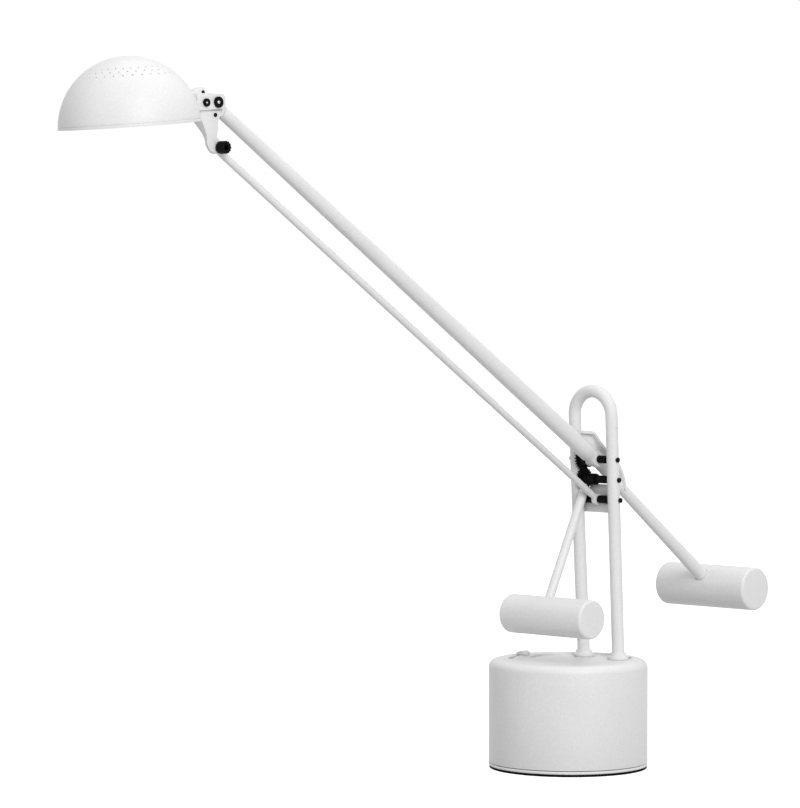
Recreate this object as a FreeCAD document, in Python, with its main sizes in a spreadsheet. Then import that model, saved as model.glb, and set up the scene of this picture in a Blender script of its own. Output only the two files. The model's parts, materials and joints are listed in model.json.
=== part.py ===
import FreeCAD, Part
import Sketcher
import math
import os

# Counterweight balance desk lamp, in millimetres, +Z up.
# The origin is the centre of the foot pad's underside, on the table.
# The arm swings in the X-Z plane: the shade reaches towards -X, the rear weight towards +X.
# The mast's two legs stand side by side along Y, and every pin of the arm lies along Y.

doc = FreeCAD.newDocument("BalanceLamp")
sheet = doc.addObject("Spreadsheet::Sheet", "Sizes")
FULL_TURN = 360.0
RIGHT_ANGLE = 90.0
ORIGIN = (0, 0, 0)


class Term:
    """A length or angle, known both as a number and as the expression that drives it."""

    def __init__(self, number, text):
        self.number = float(number)
        self.text = text

    def __float__(self):
        return self.number

    def __neg__(self):
        return Term(-self.number, "(-%s)" % self.text)

    def __add__(self, other):
        other = term(other)
        return Term(self.number + other.number, "(%s + %s)" % (self.text, other.text))

    def __sub__(self, other):
        other = term(other)
        return Term(self.number - other.number, "(%s - %s)" % (self.text, other.text))

    def __mul__(self, other):
        other = term(other)
        return Term(self.number * other.number, "(%s * %s)" % (self.text, other.text))

    def __truediv__(self, other):
        other = term(other)
        return Term(self.number / other.number, "(%s / %s)" % (self.text, other.text))

    def __radd__(self, other):
        return term(other) + self

    def __rsub__(self, other):
        return term(other) - self

    def __rmul__(self, other):
        return term(other) * self


def term(value):
    if isinstance(value, Term):
        return value
    return Term(value, "(%r)" % float(value))


def sine(angle):
    angle = term(angle)
    return Term(math.sin(math.radians(angle.number)), "sin(%s)" % angle.text)


def cosine(angle):
    angle = term(angle)
    return Term(math.cos(math.radians(angle.number)), "cos(%s)" % angle.text)


def root(value):
    value = term(value)
    return Term(math.sqrt(value.number), "sqrt(%s)" % value.text)


def size(alias, value, note):
    """Writes one driving dimension into the sheet and returns it as a Term."""
    size.row += 1
    sheet.set("A%d" % size.row, note)
    sheet.set("B%d" % size.row, str(value))
    sheet.setAlias("B%d" % size.row, alias)
    return Term(value, "Sizes." + alias)


size.row = 0

# ---------------------------------------------------------------- driving dimensions

# base
base_radius = size("base_radius", 60.0, "radius of the drum")
base_height = size("base_height", 82.0, "table to the drum's top face")
pad_thick = size("pad_thick", 1.8, "foot pad")
plate_thick = size("plate_thick", 2.2, "base plate")
plate_edge = size("plate_edge", 0.5, "chamfer round the base plate and the pad's set-back")
seam_gap = size("seam_gap", 0.6, "seam between the base plate and the turning drum")
shell_wall = size("shell_wall", 1.6, "drum wall")
top_thick = size("top_thick", 4.0, "drum top")
shoulder = size("shoulder", 6.0, "outer radius of the drum's shoulder")
dish_x = size("dish_x", 14.0, "centre of the dish in the drum's top")
dish_radius = size("dish_radius", 38.5, "radius of the dish")
dish_depth = size("dish_depth", 2.0, "depth of the dish")
dish_lip = size("dish_lip", 0.8, "rounded lip of the dish")
floor_thick = size("floor_thick", 2.0, "steel floor inside the drum")
fit_gap = size("fit_gap", 0.1, "gap of parts that are fitted together")
running_gap = size("running_gap", 0.05, "radial clearance of a turning pivot")
side_gap = size("side_gap", 0.3, "gap beside a moving piece")
overrun = size("overrun", 1.0, "how far a cut runs past the face that it opens")

# swivel under the drum
stud_radius = size("stud_radius", 5.0, "swivel stud")
stud_head_radius = size("stud_head_radius", 8.5, "stud head under the base plate")
stud_head_thick = size("stud_head_thick", 1.3, "stud head")
slip_inner = size("slip_inner", 16.0, "slip ring, inner radius")
slip_outer = size("slip_outer", 27.0, "slip ring, outer radius")
slip_thick = size("slip_thick", 1.3, "slip ring")
bush_wall = size("bush_wall", 2.0, "swivel bush")
bush_flange = size("bush_flange", 2.6, "flange of the swivel bush beyond its sleeve")
bush_rise = size("bush_rise", 1.6, "bush flange thickness above the floor")
washer_thick = size("washer_thick", 1.0, "washers")
swivel_nut_radius = size("swivel_nut_radius", 7.2, "swivel nut, across corners over two")
swivel_nut_height = size("swivel_nut_height", 3.6, "swivel nut")

# inside the drum
post_radius = size("post_radius", 3.5, "stay posts")
post_circle = size("post_circle", 50.0, "radius at which the stay posts stand")
stay_screw_radius = size("stay_screw_radius", 1.6, "stay screws")
screw_head_radius = size("screw_head_radius", 3.2, "heads of the inner screws")
screw_head_thick = size("screw_head_thick", 0.9, "heads of the inner screws")
screw_grip = size("screw_grip", 8.0, "thread length in a post")
core_width = size("core_width", 60.0, "transformer core along X")
core_stack = size("core_stack", 34.0, "transformer core along Y")
core_height = size("core_height", 50.0, "transformer core along Z")
core_limb = size("core_limb", 20.0, "middle limb of the core")
core_yoke = size("core_yoke", 10.0, "yokes of the core")
core_y = size("core_y", 27.5, "distance of the core's centre towards -Y")
coil_overhang = size("coil_overhang", 8.0, "winding beyond the core")
strap_thick = size("strap_thick", 1.2, "transformer clamp")
strap_width = size("strap_width", 18.0, "transformer clamp")
strap_foot = size("strap_foot", 9.0, "feet of the transformer clamp")
terminal_length = size("terminal_length", 30.0, "terminal block along X")
terminal_width = size("terminal_width", 11.0, "terminal block along Y")
terminal_height = size("terminal_height", 10.0, "terminal block")
terminal_y = size("terminal_y", 20.0, "near side of the terminal block")
terminal_holes = 3
inlet_radius = size("inlet_radius", 3.6, "bore of the cord inlet")
inlet_wall = size("inlet_wall", 1.6, "wall of the cord inlet's bush")
inlet_flange = size("inlet_flange", 2.0, "flange of the cord inlet beyond its sleeve")
inlet_flange_thick = size("inlet_flange_thick", 1.6, "flange of the cord inlet")
inlet_length = size("inlet_length", 9.0, "cord inlet, overall")
inlet_z = size("inlet_z", 20.0, "height of the cord inlet")

# switch
slot_circle = size("slot_circle", 43.5, "radius of the switch's arc slot")
slot_width = size("slot_width", 3.4, "width of the arc slot")
slot_start = size("slot_start", 90.0, "bearing of the slot's first end, from +X")
slot_sweep = size("slot_sweep", 44.0, "sweep of the arc slot")
tab_width = size("tab_width", 5.0, "switch tab across the slot's run")
tab_length = size("tab_length", 11.0, "switch tab along the radius")
tab_height = size("tab_height", 3.6, "switch tab above the drum")
tab_rest = size("tab_rest", 5.0, "bearing of the tab past the slot's first end")
switch_height = size("switch_height", 10.0, "switch housing")
switch_margin = size("switch_margin", 3.5, "switch housing round the slot")
switch_overlap = size("switch_overlap", 6.0, "bearing of the housing past each end of the slot")

# mast
mast_x = size("mast_x", 37.4, "mast axis at the drum's top")
mast_lean = size("mast_lean", 2.98, "lean of the mast towards -X")
mast_height = size("mast_height", 183.2, "drum's top to the bend's centre, along the mast")
bend_radius = size("bend_radius", 18.6, "centre line of the bend")
leg_splay = size("leg_splay", 0.35, "each leg's splay")
tube_radius = size("tube_radius", 4.75, "mast tube")
tube_wall = size("tube_wall", 1.2, "mast tube")
collar_radius = size("collar_radius", 8.0, "flare of a foot collar")
collar_neck = size("collar_neck", 1.3, "wall of a foot collar at its neck")
collar_height = size("collar_height", 7.0, "foot collar")
collar_foot = size("collar_foot", 2.4, "straight foot of a collar")
mast_stud_radius = size("mast_stud_radius", 3.4, "threaded studs in the legs")
mast_stud_up = size("mast_stud_up", 22.0, "stud length up in a leg")
mast_stud_down = size("mast_stud_down", 14.0, "stud length below the dish")
mast_nut_radius = size("mast_nut_radius", 6.0, "mast nuts, across corners over two")
mast_nut_height = size("mast_nut_height", 5.0, "mast nuts")

# pins of the mast
top_pin_x = size("top_pin_x", 29.4, "arm pivot")
top_pin_z = size("top_pin_z", 231.9, "arm pivot")
gear_teeth = 22
gear_module = size("gear_module", 0.7, "module of the two gears")
gear_relief = size("gear_relief", 9.0, "relief in the cross plate round the lower gear")
link_lean = size("link_lean", 5.7, "lean of the pins' line towards -X")
pin_radius = size("pin_radius", 1.6, "pins of the mast")
pin_head_radius = size("pin_head_radius", 1.9, "pin heads")
pin_head_thick = size("pin_head_thick", 0.9, "pin heads")
pin_reach = size("pin_reach", 23.4, "mid-plane to a pin's shoulders")
spacer_radius = size("spacer_radius", 3.0, "black spacers")
spacer_reach = size("spacer_reach", 13.2, "mid-plane to the legs' inner sides")
plate_back = size("plate_back", 1.6, "mast cross plate")
plate_top = size("plate_top", 212.5, "top edge of the cross plate")
plate_tall = size("plate_tall", 21.5, "height of the cross plate")
plate_half = size("plate_half", 17.6, "half the cross plate's width")
plate_window = size("plate_window", 5.8, "height of the cross plate's window")

# arm
arm_length = size("arm_length", 470.0, "arm pivot to head pivot")
arm_rise = size("arm_rise", 33.1, "arm above level, at rest")
arm_start = size("arm_start", 8.0, "arm pivot to the tube's end")
arm_end = size("arm_end", 11.0, "head pivot to the tube's end")
arm_root_radius = size("arm_root_radius", 6.5, "arm tube at the mast")
arm_tip_radius = size("arm_tip_radius", 4.6, "arm tube at the head")
arm_wall = size("arm_wall", 1.1, "arm tubes")
spigot_length = size("spigot_length", 12.0, "root's spigots inside the arm tubes")
plug_length = size("plug_length", 9.0, "tongue's plug inside the arm tube")
hub_radius = size("hub_radius", 5.6, "boss of the arm root on its pin")
hub_half = size("hub_half", 4.6, "half the length of the boss")
web_half = size("web_half", 1.6, "half the thickness of the root's web")
gear_near = size("gear_near", 10.0, "near side of the gears")
gear_far = size("gear_far", 12.8, "far side of the gears")
gear_hub_radius = size("gear_hub_radius", 6.3, "hub of the arm gear")
saddle_half = size("saddle_half", 5.0, "half the width of the curved saddle")
saddle_thick = size("saddle_thick", 2.2, "thickness of the saddle")
rear_length = size("rear_length", 174.4, "arm pivot to the rear weight's centre")
rear_drop = size("rear_drop", 36.9, "rear arm below level")
rear_start_radius = size("rear_start_radius", 4.0, "rear arm at the root")
rear_end_radius = size("rear_end_radius", 5.3, "rear arm at the weight")
rear_weight_radius = size("rear_weight_radius", 16.7, "rear weight")
rear_weight_length = size("rear_weight_length", 89.0, "rear weight")
weight_round = size("weight_round", 2.0, "rounded ends of the weights")

# lever of the front weight
lever_length = size("lever_length", 112.9, "middle pin to the front weight's centre")
lever_lean = size("lever_lean", 26.1, "lever's lean towards -X, at rest")
lever_radius = size("lever_radius", 3.5, "lever tube")
lever_y = size("lever_y", 8.0, "lever's axis beyond the mid-plane")
lever_neck_radius = size("lever_neck_radius", 1.7, "neck between the lever's eye and tube")
lever_start = size("lever_start", 9.8, "middle pin to the lever tube's end")
lever_eye_near = size("lever_eye_near", 6.2, "near side of the lever's eye")
lever_eye_radius = size("lever_eye_radius", 4.6, "eye at the lever's top")
lever_hub_radius = size("lever_hub_radius", 4.3, "black hub beside the lever")
lever_hub_near = size("lever_hub_near", 1.0, "hub's reach towards -Y")
front_weight_radius = size("front_weight_radius", 14.7, "front weight")
front_weight_length = size("front_weight_length", 82.0, "front weight")

# tie rod
rod_radius = size("rod_radius", 2.6, "tie rod")
rod_eye_radius = size("rod_eye_radius", 4.2, "eyes of the tie rod")
rod_eye_half = size("rod_eye_half", 2.0, "half the thickness of the rod's eyes")
rod_neck = size("rod_neck", 6.0, "tie rod's end to the round of its eye")
rod_open_gap = size("rod_open_gap", 0.3, "clearance round the rod's upper pin")

# head
cheek_gap = size("cheek_gap", 2.35, "mid-plane to the bracket's cheeks")
cheek_thick = size("cheek_thick", 4.0, "thick cheeks of the head bracket")
tail_thick = size("tail_thick", 2.0, "bracket's tail, on the near side")
web_thick = size("web_thick", 1.6, "bracket's web, between the cheeks")
web_taper = size("web_taper", 26.5, "slope of the web's far edge")
web_corner = size("web_corner", 13.0, "head pivot down to the web's slope")
tongue_half = size("tongue_half", 2.0, "half the thickness of the arm's tongue and shade's lug")
tongue_radius = size("tongue_radius", 5.4, "rounded end of the arm's tongue")
head_pin_radius = size("head_pin_radius", 2.0, "pins of the head")
arm_screw_radius = size("arm_screw_radius", 3.8, "head of the arm's pivot screw")
shade_screw_radius = size("shade_screw_radius", 2.8, "head of the shade's pivot screw")
head_screw_thick = size("head_screw_thick", 1.8, "heads of the pivot screws")
head_nut_radius = size("head_nut_radius", 3.4, "nuts of the pivot screws")
knob_radius = size("knob_radius", 4.4, "knob on the rod's upper pin")
knob_length = size("knob_length", 7.4, "knob on the rod's upper pin")
rivet_radius = size("rivet_radius", 1.5, "rivet of the bracket and stop pin of the shade")
rivet_head = size("rivet_head", 0.8, "rivet beyond the bracket's tail")
rivet_back = size("rivet_back", 0.6, "head pivot to the rivet, towards -X")
rivet_drop = size("rivet_drop", 8.6, "head pivot to the rivet, down")
shade_pin_back = size("shade_pin_back", 11.0, "head pivot to the shade's pivot, towards -X")
shade_pin_drop = size("shade_pin_drop", 0.6, "head pivot to the shade's pivot, down")
lug_radius = size("lug_radius", 10.4, "disc of the shade's lug")
shade_radius = size("shade_radius", 48.0, "shade, outside")
shade_wall = size("shade_wall", 1.2, "shade")
shade_reach = size("shade_reach", 62.8, "shade's pivot to the dome's centre, towards -X")
shade_drop = size("shade_drop", 19.0, "shade's pivot to the dome's centre, down")
shade_tilt = size("shade_tilt", 5.4, "shade's tilt at rest, mouth towards the base")
rim_lift = size("rim_lift", 1.6, "rim above the dome's centre")
rim_bead = size("rim_bead", 0.9, "rolled edge of the rim")
vent_count = 12
vent_radius = size("vent_radius", 1.7, "vent holes in the dome")
vent_angle = size("vent_angle", 31.0, "vent holes, from the dome's top")
lug_low = size("lug_low", 3.4, "shade's neck below its pivot")
lug_high = size("lug_high", 5.5, "shade's neck above its pivot")
lug_hub = size("lug_hub", 5.2, "lug round its pin, towards the arm")
reflector_radius = size("reflector_radius", 36.0, "reflector bowl")
reflector_wall = size("reflector_wall", 0.8, "reflector")
reflector_edge_z = size("reflector_edge_z", 7.0, "reflector's edge above the dome's centre")
holder_radius = size("holder_radius", 6.0, "lampholder")
holder_start = size("holder_start", 20.0, "lampholder's mouth from the dome's axis")
holder_length = size("holder_length", 16.0, "lampholder")
holder_z = size("holder_z", 14.0, "lamp's axis above the dome's centre")
bulb_radius = size("bulb_radius", 4.6, "halogen capsule")
bulb_length = size("bulb_length", 26.0, "halogen capsule")
bulb_pin_radius = size("bulb_pin_radius", 0.6, "capsule's pins")
bulb_pin_space = size("bulb_pin_space", 2.0, "capsule's pins, from its axis")
bulb_pin_length = size("bulb_pin_length", 7.0, "capsule's pins")

doc.recompute()

# ---------------------------------------------------------------- places worked out from them

pad_top = pad_thick
plate_face = pad_thick + plate_thick
shell_bottom = plate_face + seam_gap
floor_bottom = plate_face + slip_thick + fit_gap
floor_top = floor_bottom + floor_thick
dish_floor = base_height - dish_depth
ceiling = base_height - top_thick

pin_pitch = gear_module * gear_teeth
link_x = -(sine(link_lean) * pin_pitch)
link_z = cosine(link_lean) * pin_pitch
middle_pin_x = top_pin_x - link_x
middle_pin_z = top_pin_z - link_z
bottom_pin_x = middle_pin_x - link_x
bottom_pin_z = middle_pin_z - link_z

head_x = top_pin_x - cosine(arm_rise) * arm_length
head_z = top_pin_z + sine(arm_rise) * arm_length
rod_head_x = head_x + (bottom_pin_x - top_pin_x)
rod_head_z = head_z + (bottom_pin_z - top_pin_z)
shade_pin_x = head_x - shade_pin_back
shade_pin_z = head_z - shade_pin_drop
dome_x = shade_pin_x - shade_reach
dome_z = shade_pin_z - shade_drop

rear_x = top_pin_x + cosine(rear_drop) * rear_length
rear_z = top_pin_z - sine(rear_drop) * rear_length
front_x = middle_pin_x - sine(lever_lean) * lever_length
front_z = middle_pin_z - cosine(lever_lean) * lever_length

cheek_outer = cheek_gap + cheek_thick

# ---------------------------------------------------------------- building blocks

NODES = []


def bind(item, path, value):
    """Drives one property of an object by a Term, or sets it to a plain number."""
    if isinstance(value, Term):
        item.setExpression(path, value.text)


def place(item, at=ORIGIN, axis=(0, 1, 0), angle=0):
    """Puts an object at a point, turned about an axis, with every Term bound."""
    spin = FreeCAD.Rotation(FreeCAD.Vector(*axis), float(angle))
    spot = FreeCAD.Vector(*[float(value) for value in at])
    item.Placement = FreeCAD.Placement(spot, spin)
    for letter, value in zip("xyz", at):
        bind(item, "Placement.Base." + letter, value)
    bind(item, "Placement.Rotation.Angle", angle)
    return item


def primitive(kind, numbers, at, axis, angle):
    item = doc.addObject("Part::" + kind, kind.lower())
    for name, value in numbers.items():
        setattr(item, name, float(value))
        bind(item, name, value)
    return place(item, at, axis, angle)


def rod(radius, length, at=ORIGIN, axis=(0, 1, 0), angle=0):
    """A cylinder along its own +Z."""
    return primitive("Cylinder", {"Radius": radius, "Height": length}, at, axis, angle)


def cross_rod(radius, start, end, x, z):
    """A cylinder along Y, from one Y to another."""
    return rod(radius, end - start, (x, start, z), (1, 0, 0), -RIGHT_ANGLE)


def taper(first, second, length, at=ORIGIN, axis=(0, 1, 0), angle=0):
    numbers = {"Radius1": first, "Radius2": second, "Height": length}
    return primitive("Cone", numbers, at, axis, angle)


def block(width, depth, height, at=ORIGIN, axis=(0, 1, 0), angle=0):
    numbers = {"Length": width, "Width": depth, "Height": height}
    return primitive("Box", numbers, at, axis, angle)


def hexagon(radius, height, at=ORIGIN, axis=(0, 1, 0), angle=0):
    item = primitive("Prism", {"Circumradius": radius, "Height": height}, at, axis, angle)
    item.Polygon = 6
    return item


def sector(inner, outer, height, start, sweep, z):
    """A stretch of a ring about the Z axis."""
    numbers = {"Radius": outer, "Height": height, "Angle": sweep}
    whole = primitive("Cylinder", numbers, (0, 0, z), (0, 0, 1), start)
    numbers = {"Radius": inner, "Height": height, "Angle": FULL_TURN}
    return cut(whole, primitive("Cylinder", numbers, (0, 0, z), (0, 0, 1), 0))


def fuse(*items):
    result = doc.addObject("Part::MultiFuse", "fuse")
    result.Shapes = list(items)
    return result


def cut(base, *tools):
    result = doc.addObject("Part::Cut", "cut")
    result.Base = base
    result.Tool = tools[0] if len(tools) == 1 else fuse(*tools)
    return result


def common(first, second):
    result = doc.addObject("Part::Common", "common")
    result.Base = first
    result.Tool = second
    return result


def node(item, label):
    """Marks a finished piece, which is written to a file of that name."""
    item.Label = label
    NODES.append(item)
    return item


def new_body(at=ORIGIN, axis=(0, 1, 0), angle=0):
    return place(doc.addObject("PartDesign::Body", "body"), at, axis, angle)


def attached_sketch(body, role, height=0):
    """A sketch on one of the body's own origin planes, or at a height above it."""
    plane = [item for item in body.Origin.OriginFeatures if item.Role == role][0]
    sketch = body.newObject("Sketcher::SketchObject", "sketch")
    sketch.AttachmentSupport = [(plane, "")]
    sketch.MapMode = "FlatFace"
    sketch.AttachmentOffset = FreeCAD.Placement(FreeCAD.Vector(0, 0, float(height)), FreeCAD.Rotation())
    bind(sketch, "AttachmentOffset.Base.z", height)
    return sketch


def arc_between(start, end, radius, turn):
    """The short arc from start to end; turn is +1 where it bends to the left."""
    middle = (start + end) * 0.5
    half = (end - start) * 0.5
    reach = math.sqrt(max(radius ** 2 - half.Length ** 2, 0.0))
    side = FreeCAD.Vector(-half.y, half.x, 0).normalize()
    centre = middle + side * (reach * turn)
    first, last = (start, end) if turn > 0 else (end, start)
    angles = [math.atan2(point.y - centre.y, point.x - centre.x) for point in (first, last)]
    circle = Part.Circle(centre, FreeCAD.Vector(0, 0, 1), radius)
    return Part.ArcOfCircle(circle, angles[0], angles[1])


def draw(sketch, outline, closed=True):
    """Draws an outline, with each corner and arc driven by its own sizes.

    Each entry is a corner (x, y), or (x, y, radius, turn) where an arc of that radius
    leads to the corner from the one before.
    """
    points = [FreeCAD.Vector(float(entry[0]), float(entry[1]), 0) for entry in outline]
    count = len(outline) if closed else len(outline) - 1
    starts = []
    ends = []
    for index in range(count):
        following = (index + 1) % len(outline)
        entry = outline[following]
        if len(entry) == 4:
            arc = arc_between(points[index], points[following], float(entry[2]), entry[3])
            geometry = sketch.addGeometry(arc, False)
            forward = entry[3] > 0
            starts.append((geometry, 1 if forward else 2))
            ends.append((geometry, 2 if forward else 1))
            drive(sketch, "Radius", (geometry,), entry[2])
        else:
            line = Part.LineSegment(points[index], points[following])
            geometry = sketch.addGeometry(line, False)
            starts.append((geometry, 1))
            ends.append((geometry, 2))
    for index in range(count):
        if closed or index + 1 < count:
            following = (index + 1) % count
            sketch.addConstraint(Sketcher.Constraint("Coincident", *ends[index], *starts[following]))
    corners = starts if closed else starts + [ends[-1]]
    for corner, entry in zip(corners, outline):
        drive(sketch, "DistanceX", (-1, 1) + corner, entry[0])
        drive(sketch, "DistanceY", (-1, 1) + corner, entry[1])


def drive(sketch, kind, places, value):
    index = sketch.addConstraint(Sketcher.Constraint(kind, *places, float(value)))
    bind(sketch, "Constraints[%d]" % index, value)


def ring(sketch, radius, x=0, y=0):
    """A circle in a sketch, driven by its radius and centre."""
    centre = FreeCAD.Vector(float(x), float(y), 0)
    geometry = sketch.addGeometry(Part.Circle(centre, FreeCAD.Vector(0, 0, 1), float(radius)), False)
    drive(sketch, "Radius", (geometry,), radius)
    drive(sketch, "DistanceX", (-1, 1, geometry, 3), x)
    drive(sketch, "DistanceY", (-1, 1, geometry, 3), y)


def turned(outline, at=ORIGIN, axis=(0, 1, 0), angle=0):
    """A body turned about its own Z axis, from an outline of (radius, height) corners."""
    body = new_body(at, axis, angle)
    sketch = attached_sketch(body, "XZ_Plane")
    draw(sketch, outline)
    spin = body.newObject("PartDesign::Revolution", "turned")
    spin.Profile = (sketch, [""])
    spin.ReferenceAxis = (sketch, ["V_Axis"])
    spin.Angle = FULL_TURN
    sketch.Visibility = False
    return body


def plate(outline, low, high, at=ORIGIN, axis=(0, 1, 0), angle=0):
    """A flat piece drawn in the X-Z plane, between two distances along Y."""
    body = new_body(at, axis, angle)
    sketch = attached_sketch(body, "XZ_Plane", -high)
    draw(sketch, outline)
    pad = body.newObject("PartDesign::Pad", "plate")
    pad.Profile = (sketch, [""])
    pad.Length = float(high) - float(low)
    bind(pad, "Length", term(high) - term(low))
    sketch.Visibility = False
    return body


def tube(first, second, wall, start, end, lead, at):
    """A tapered round tube whose own Z axis leans from +Z by the angle lead, towards +X."""
    x, y, z = at
    length = end - start
    spot = (x + sine(lead) * start, y, z + cosine(lead) * start)
    outside = taper(first, second, length, spot, (0, 1, 0), lead)
    inside = taper(first - wall, second - wall, length, spot, (0, 1, 0), lead)
    return cut(outside, inside)


# ---------------------------------------------------------------- foot: stays still on the table


def make_foot():
    pad = rod(base_radius - plate_edge, pad_thick)
    # a blind recess from above takes the stud's head, so the underside is whole
    recess = rod(stud_head_radius + side_gap, stud_head_thick, (0, 0, pad_top - stud_head_thick))
    node(cut(pad, recess), "foot_pad")

    outer = base_radius
    bore = stud_radius + running_gap
    node(turned([
        (bore, pad_top),
        (outer - plate_edge, pad_top),
        (outer, pad_top + plate_edge),
        (outer, plate_face - plate_edge),
        (outer - plate_edge, plate_face),
        (bore, plate_face),
    ]), "base_plate")

    bush_top = floor_top + bush_rise
    nut_bottom = bush_top + fit_gap + washer_thick
    stud_top = nut_bottom + swivel_nut_height + 1
    node(turned([
        (0, pad_top - stud_head_thick),
        (stud_head_radius, pad_top - stud_head_thick),
        (stud_head_radius, pad_top),
        (stud_radius, pad_top),
        (stud_radius, stud_top),
        (0, stud_top),
    ]), "swivel_stud")

    slip = rod(slip_outer, slip_thick, (0, 0, plate_face))
    node(cut(slip, rod(slip_inner, slip_thick, (0, 0, plate_face))), "slip_ring")

    washer_z = bush_top + fit_gap
    washer = rod(stud_radius + bush_wall + bush_flange, washer_thick, (0, 0, washer_z))
    hole = rod(stud_radius + running_gap, washer_thick, (0, 0, washer_z))
    node(cut(washer, hole), "swivel_washer")
    nut = hexagon(swivel_nut_radius, swivel_nut_height, (0, 0, nut_bottom))
    node(cut(nut, rod(stud_radius + running_gap, swivel_nut_height, (0, 0, nut_bottom))), "swivel_nut")


# ---------------------------------------------------------------- drum: turns on the foot


def on_circle(radius, bearing):
    return cosine(bearing) * radius, sine(bearing) * radius


POST_BEARINGS = (75.0, 195.0, 345.0)


def leg_line(height):
    """Half the legs' spacing and the mast's X at a height, for the leaning, splayed legs."""
    up = (height - base_height) / cosine(mast_lean)
    down = (mast_height - up) / cosine(leg_splay)
    half = bend_radius / cosine(leg_splay) - sine(leg_splay) * down
    x = mast_x - sine(mast_lean) / cosine(mast_lean) * (height - base_height)
    return half, x


def make_shell():
    outer = base_radius
    inner = base_radius - shell_wall
    inner_round = shoulder - shell_wall
    shell = turned([
        (inner, shell_bottom),
        (outer, shell_bottom),
        (outer, base_height - shoulder),
        (outer - shoulder, base_height, shoulder, 1),
        (0, base_height),
        (0, ceiling),
        (inner - inner_round, ceiling),
        (inner, ceiling - inner_round, inner_round, -1),
    ])
    above = base_height + 1
    dish = turned([
        (0, dish_floor),
        (dish_radius - dish_lip, dish_floor),
        (dish_radius, dish_floor + dish_lip, dish_lip, 1),
        (dish_radius, base_height - dish_lip),
        (dish_radius + dish_lip, base_height, dish_lip, -1),
        (dish_radius + dish_lip, above),
        (0, above),
    ], (dish_x, 0, 0))
    half_slot = slot_width / 2
    slot = sector(slot_circle - half_slot, slot_circle + half_slot, top_thick + overrun * 2,
                  slot_start, slot_sweep, ceiling - 1)
    inlet = rod(inlet_radius + inlet_wall, shell_wall * 4,
                (base_radius - shell_wall * 2, 0, inlet_z), (0, 1, 0), RIGHT_ANGLE)
    half, x = leg_line(dish_floor)
    hole_x = x + sine(mast_lean) / cosine(mast_lean) * (dish_floor - ceiling + top_thick)
    stud_holes = [rod(mast_stud_radius + fit_gap, top_thick * 3, (hole_x, side * half, ceiling - top_thick),
                      (0, 1, 0), -mast_lean) for side in (-1, 1)]
    node(cut(shell, dish, slot, inlet, *stud_holes), "base_shell")


def make_floor_and_swivel_bush():
    floor = rod(base_radius - shell_wall - fit_gap, floor_thick, (0, 0, floor_bottom))
    sleeve = stud_radius + bush_wall
    holes = [rod(sleeve, floor_thick, (0, 0, floor_bottom))]
    for bearing in POST_BEARINGS:
        x, y = on_circle(post_circle, bearing)
        holes.append(rod(stay_screw_radius + fit_gap, floor_thick, (x, y, floor_bottom)))
    for side in (-1, 1):
        x = side * clamp_screw_x()
        holes.append(rod(stay_screw_radius + fit_gap, floor_thick, (x, -core_y, floor_bottom)))
    node(cut(floor, *holes), "drum_floor")

    bore = stud_radius + running_gap
    node(turned([
        (bore, floor_bottom),
        (sleeve, floor_bottom),
        (sleeve, floor_top),
        (sleeve + bush_flange, floor_top),
        (sleeve + bush_flange, floor_top + bush_rise),
        (bore, floor_top + bush_rise),
    ]), "swivel_bush")


def make_stays():
    posts = []
    screws = []
    for bearing in POST_BEARINGS:
        x, y = on_circle(post_circle, bearing)
        post = rod(post_radius, ceiling - floor_top, (x, y, floor_top))
        hole = rod(stay_screw_radius + fit_gap, screw_grip + 1, (x, y, floor_top))
        posts.append(cut(post, hole))
        shank = rod(stay_screw_radius, floor_thick + screw_grip, (x, y, floor_bottom))
        head = rod(screw_head_radius, screw_head_thick, (x, y, floor_bottom - screw_head_thick))
        screws.append(fuse(shank, head))
    node(fuse(*posts), "stay_posts")
    node(fuse(*screws), "stay_screws")


def clamp_screw_x():
    return core_width / 2 + strap_thick + strap_foot / 2


def make_transformer():
    low_y = -core_y - core_stack / 2
    window = (core_width - core_limb - core_yoke * 2) / 2
    window_height = core_height - core_yoke * 2
    core = block(core_width, core_stack, core_height, (-core_width / 2, low_y, floor_top))
    windows = []
    for x in (-core_limb / 2 - window, core_limb / 2):
        spot = (x, low_y, floor_top + core_yoke)
        windows.append(block(window, core_stack, window_height, spot))
    node(cut(core, *windows), "transformer_core")

    coil_low = floor_top + core_yoke + fit_gap
    coil_height = window_height - fit_gap * 2
    coil_x = -core_limb / 2 - window + fit_gap
    coil = block(coil_x * -2, core_stack + coil_overhang * 2, coil_height,
                 (coil_x, low_y - coil_overhang, coil_low))
    limb = block(core_limb + fit_gap * 2, core_stack + fit_gap * 2, coil_height,
                 (-core_limb / 2 - fit_gap, low_y - fit_gap, coil_low))
    node(cut(coil, limb), "transformer_winding")

    strap_y = -core_y - strap_width / 2
    outside = core_width / 2 + fit_gap + strap_thick
    hoop = block(outside * 2, strap_width, core_height + fit_gap + strap_thick,
                 (-outside, strap_y, floor_top))
    feet = block((outside + strap_foot) * 2, strap_width, strap_thick,
                 (-outside - strap_foot, strap_y, floor_top))
    room = block(outside * 2 - strap_thick * 2, strap_width, core_height + fit_gap,
                 (strap_thick - outside, strap_y, floor_top))
    holes = []
    screws = []
    for side in (-1, 1):
        x = side * clamp_screw_x()
        holes.append(rod(stay_screw_radius + fit_gap, strap_thick, (x, -core_y, floor_top)))
        shank = rod(stay_screw_radius, floor_thick + strap_thick, (x, -core_y, floor_bottom))
        head = rod(screw_head_radius, screw_head_thick, (x, -core_y, floor_top + strap_thick))
        screws.append(fuse(shank, head))
    node(cut(fuse(hoop, feet), room, *holes), "transformer_clamp")
    node(fuse(*screws), "clamp_screws")


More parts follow.
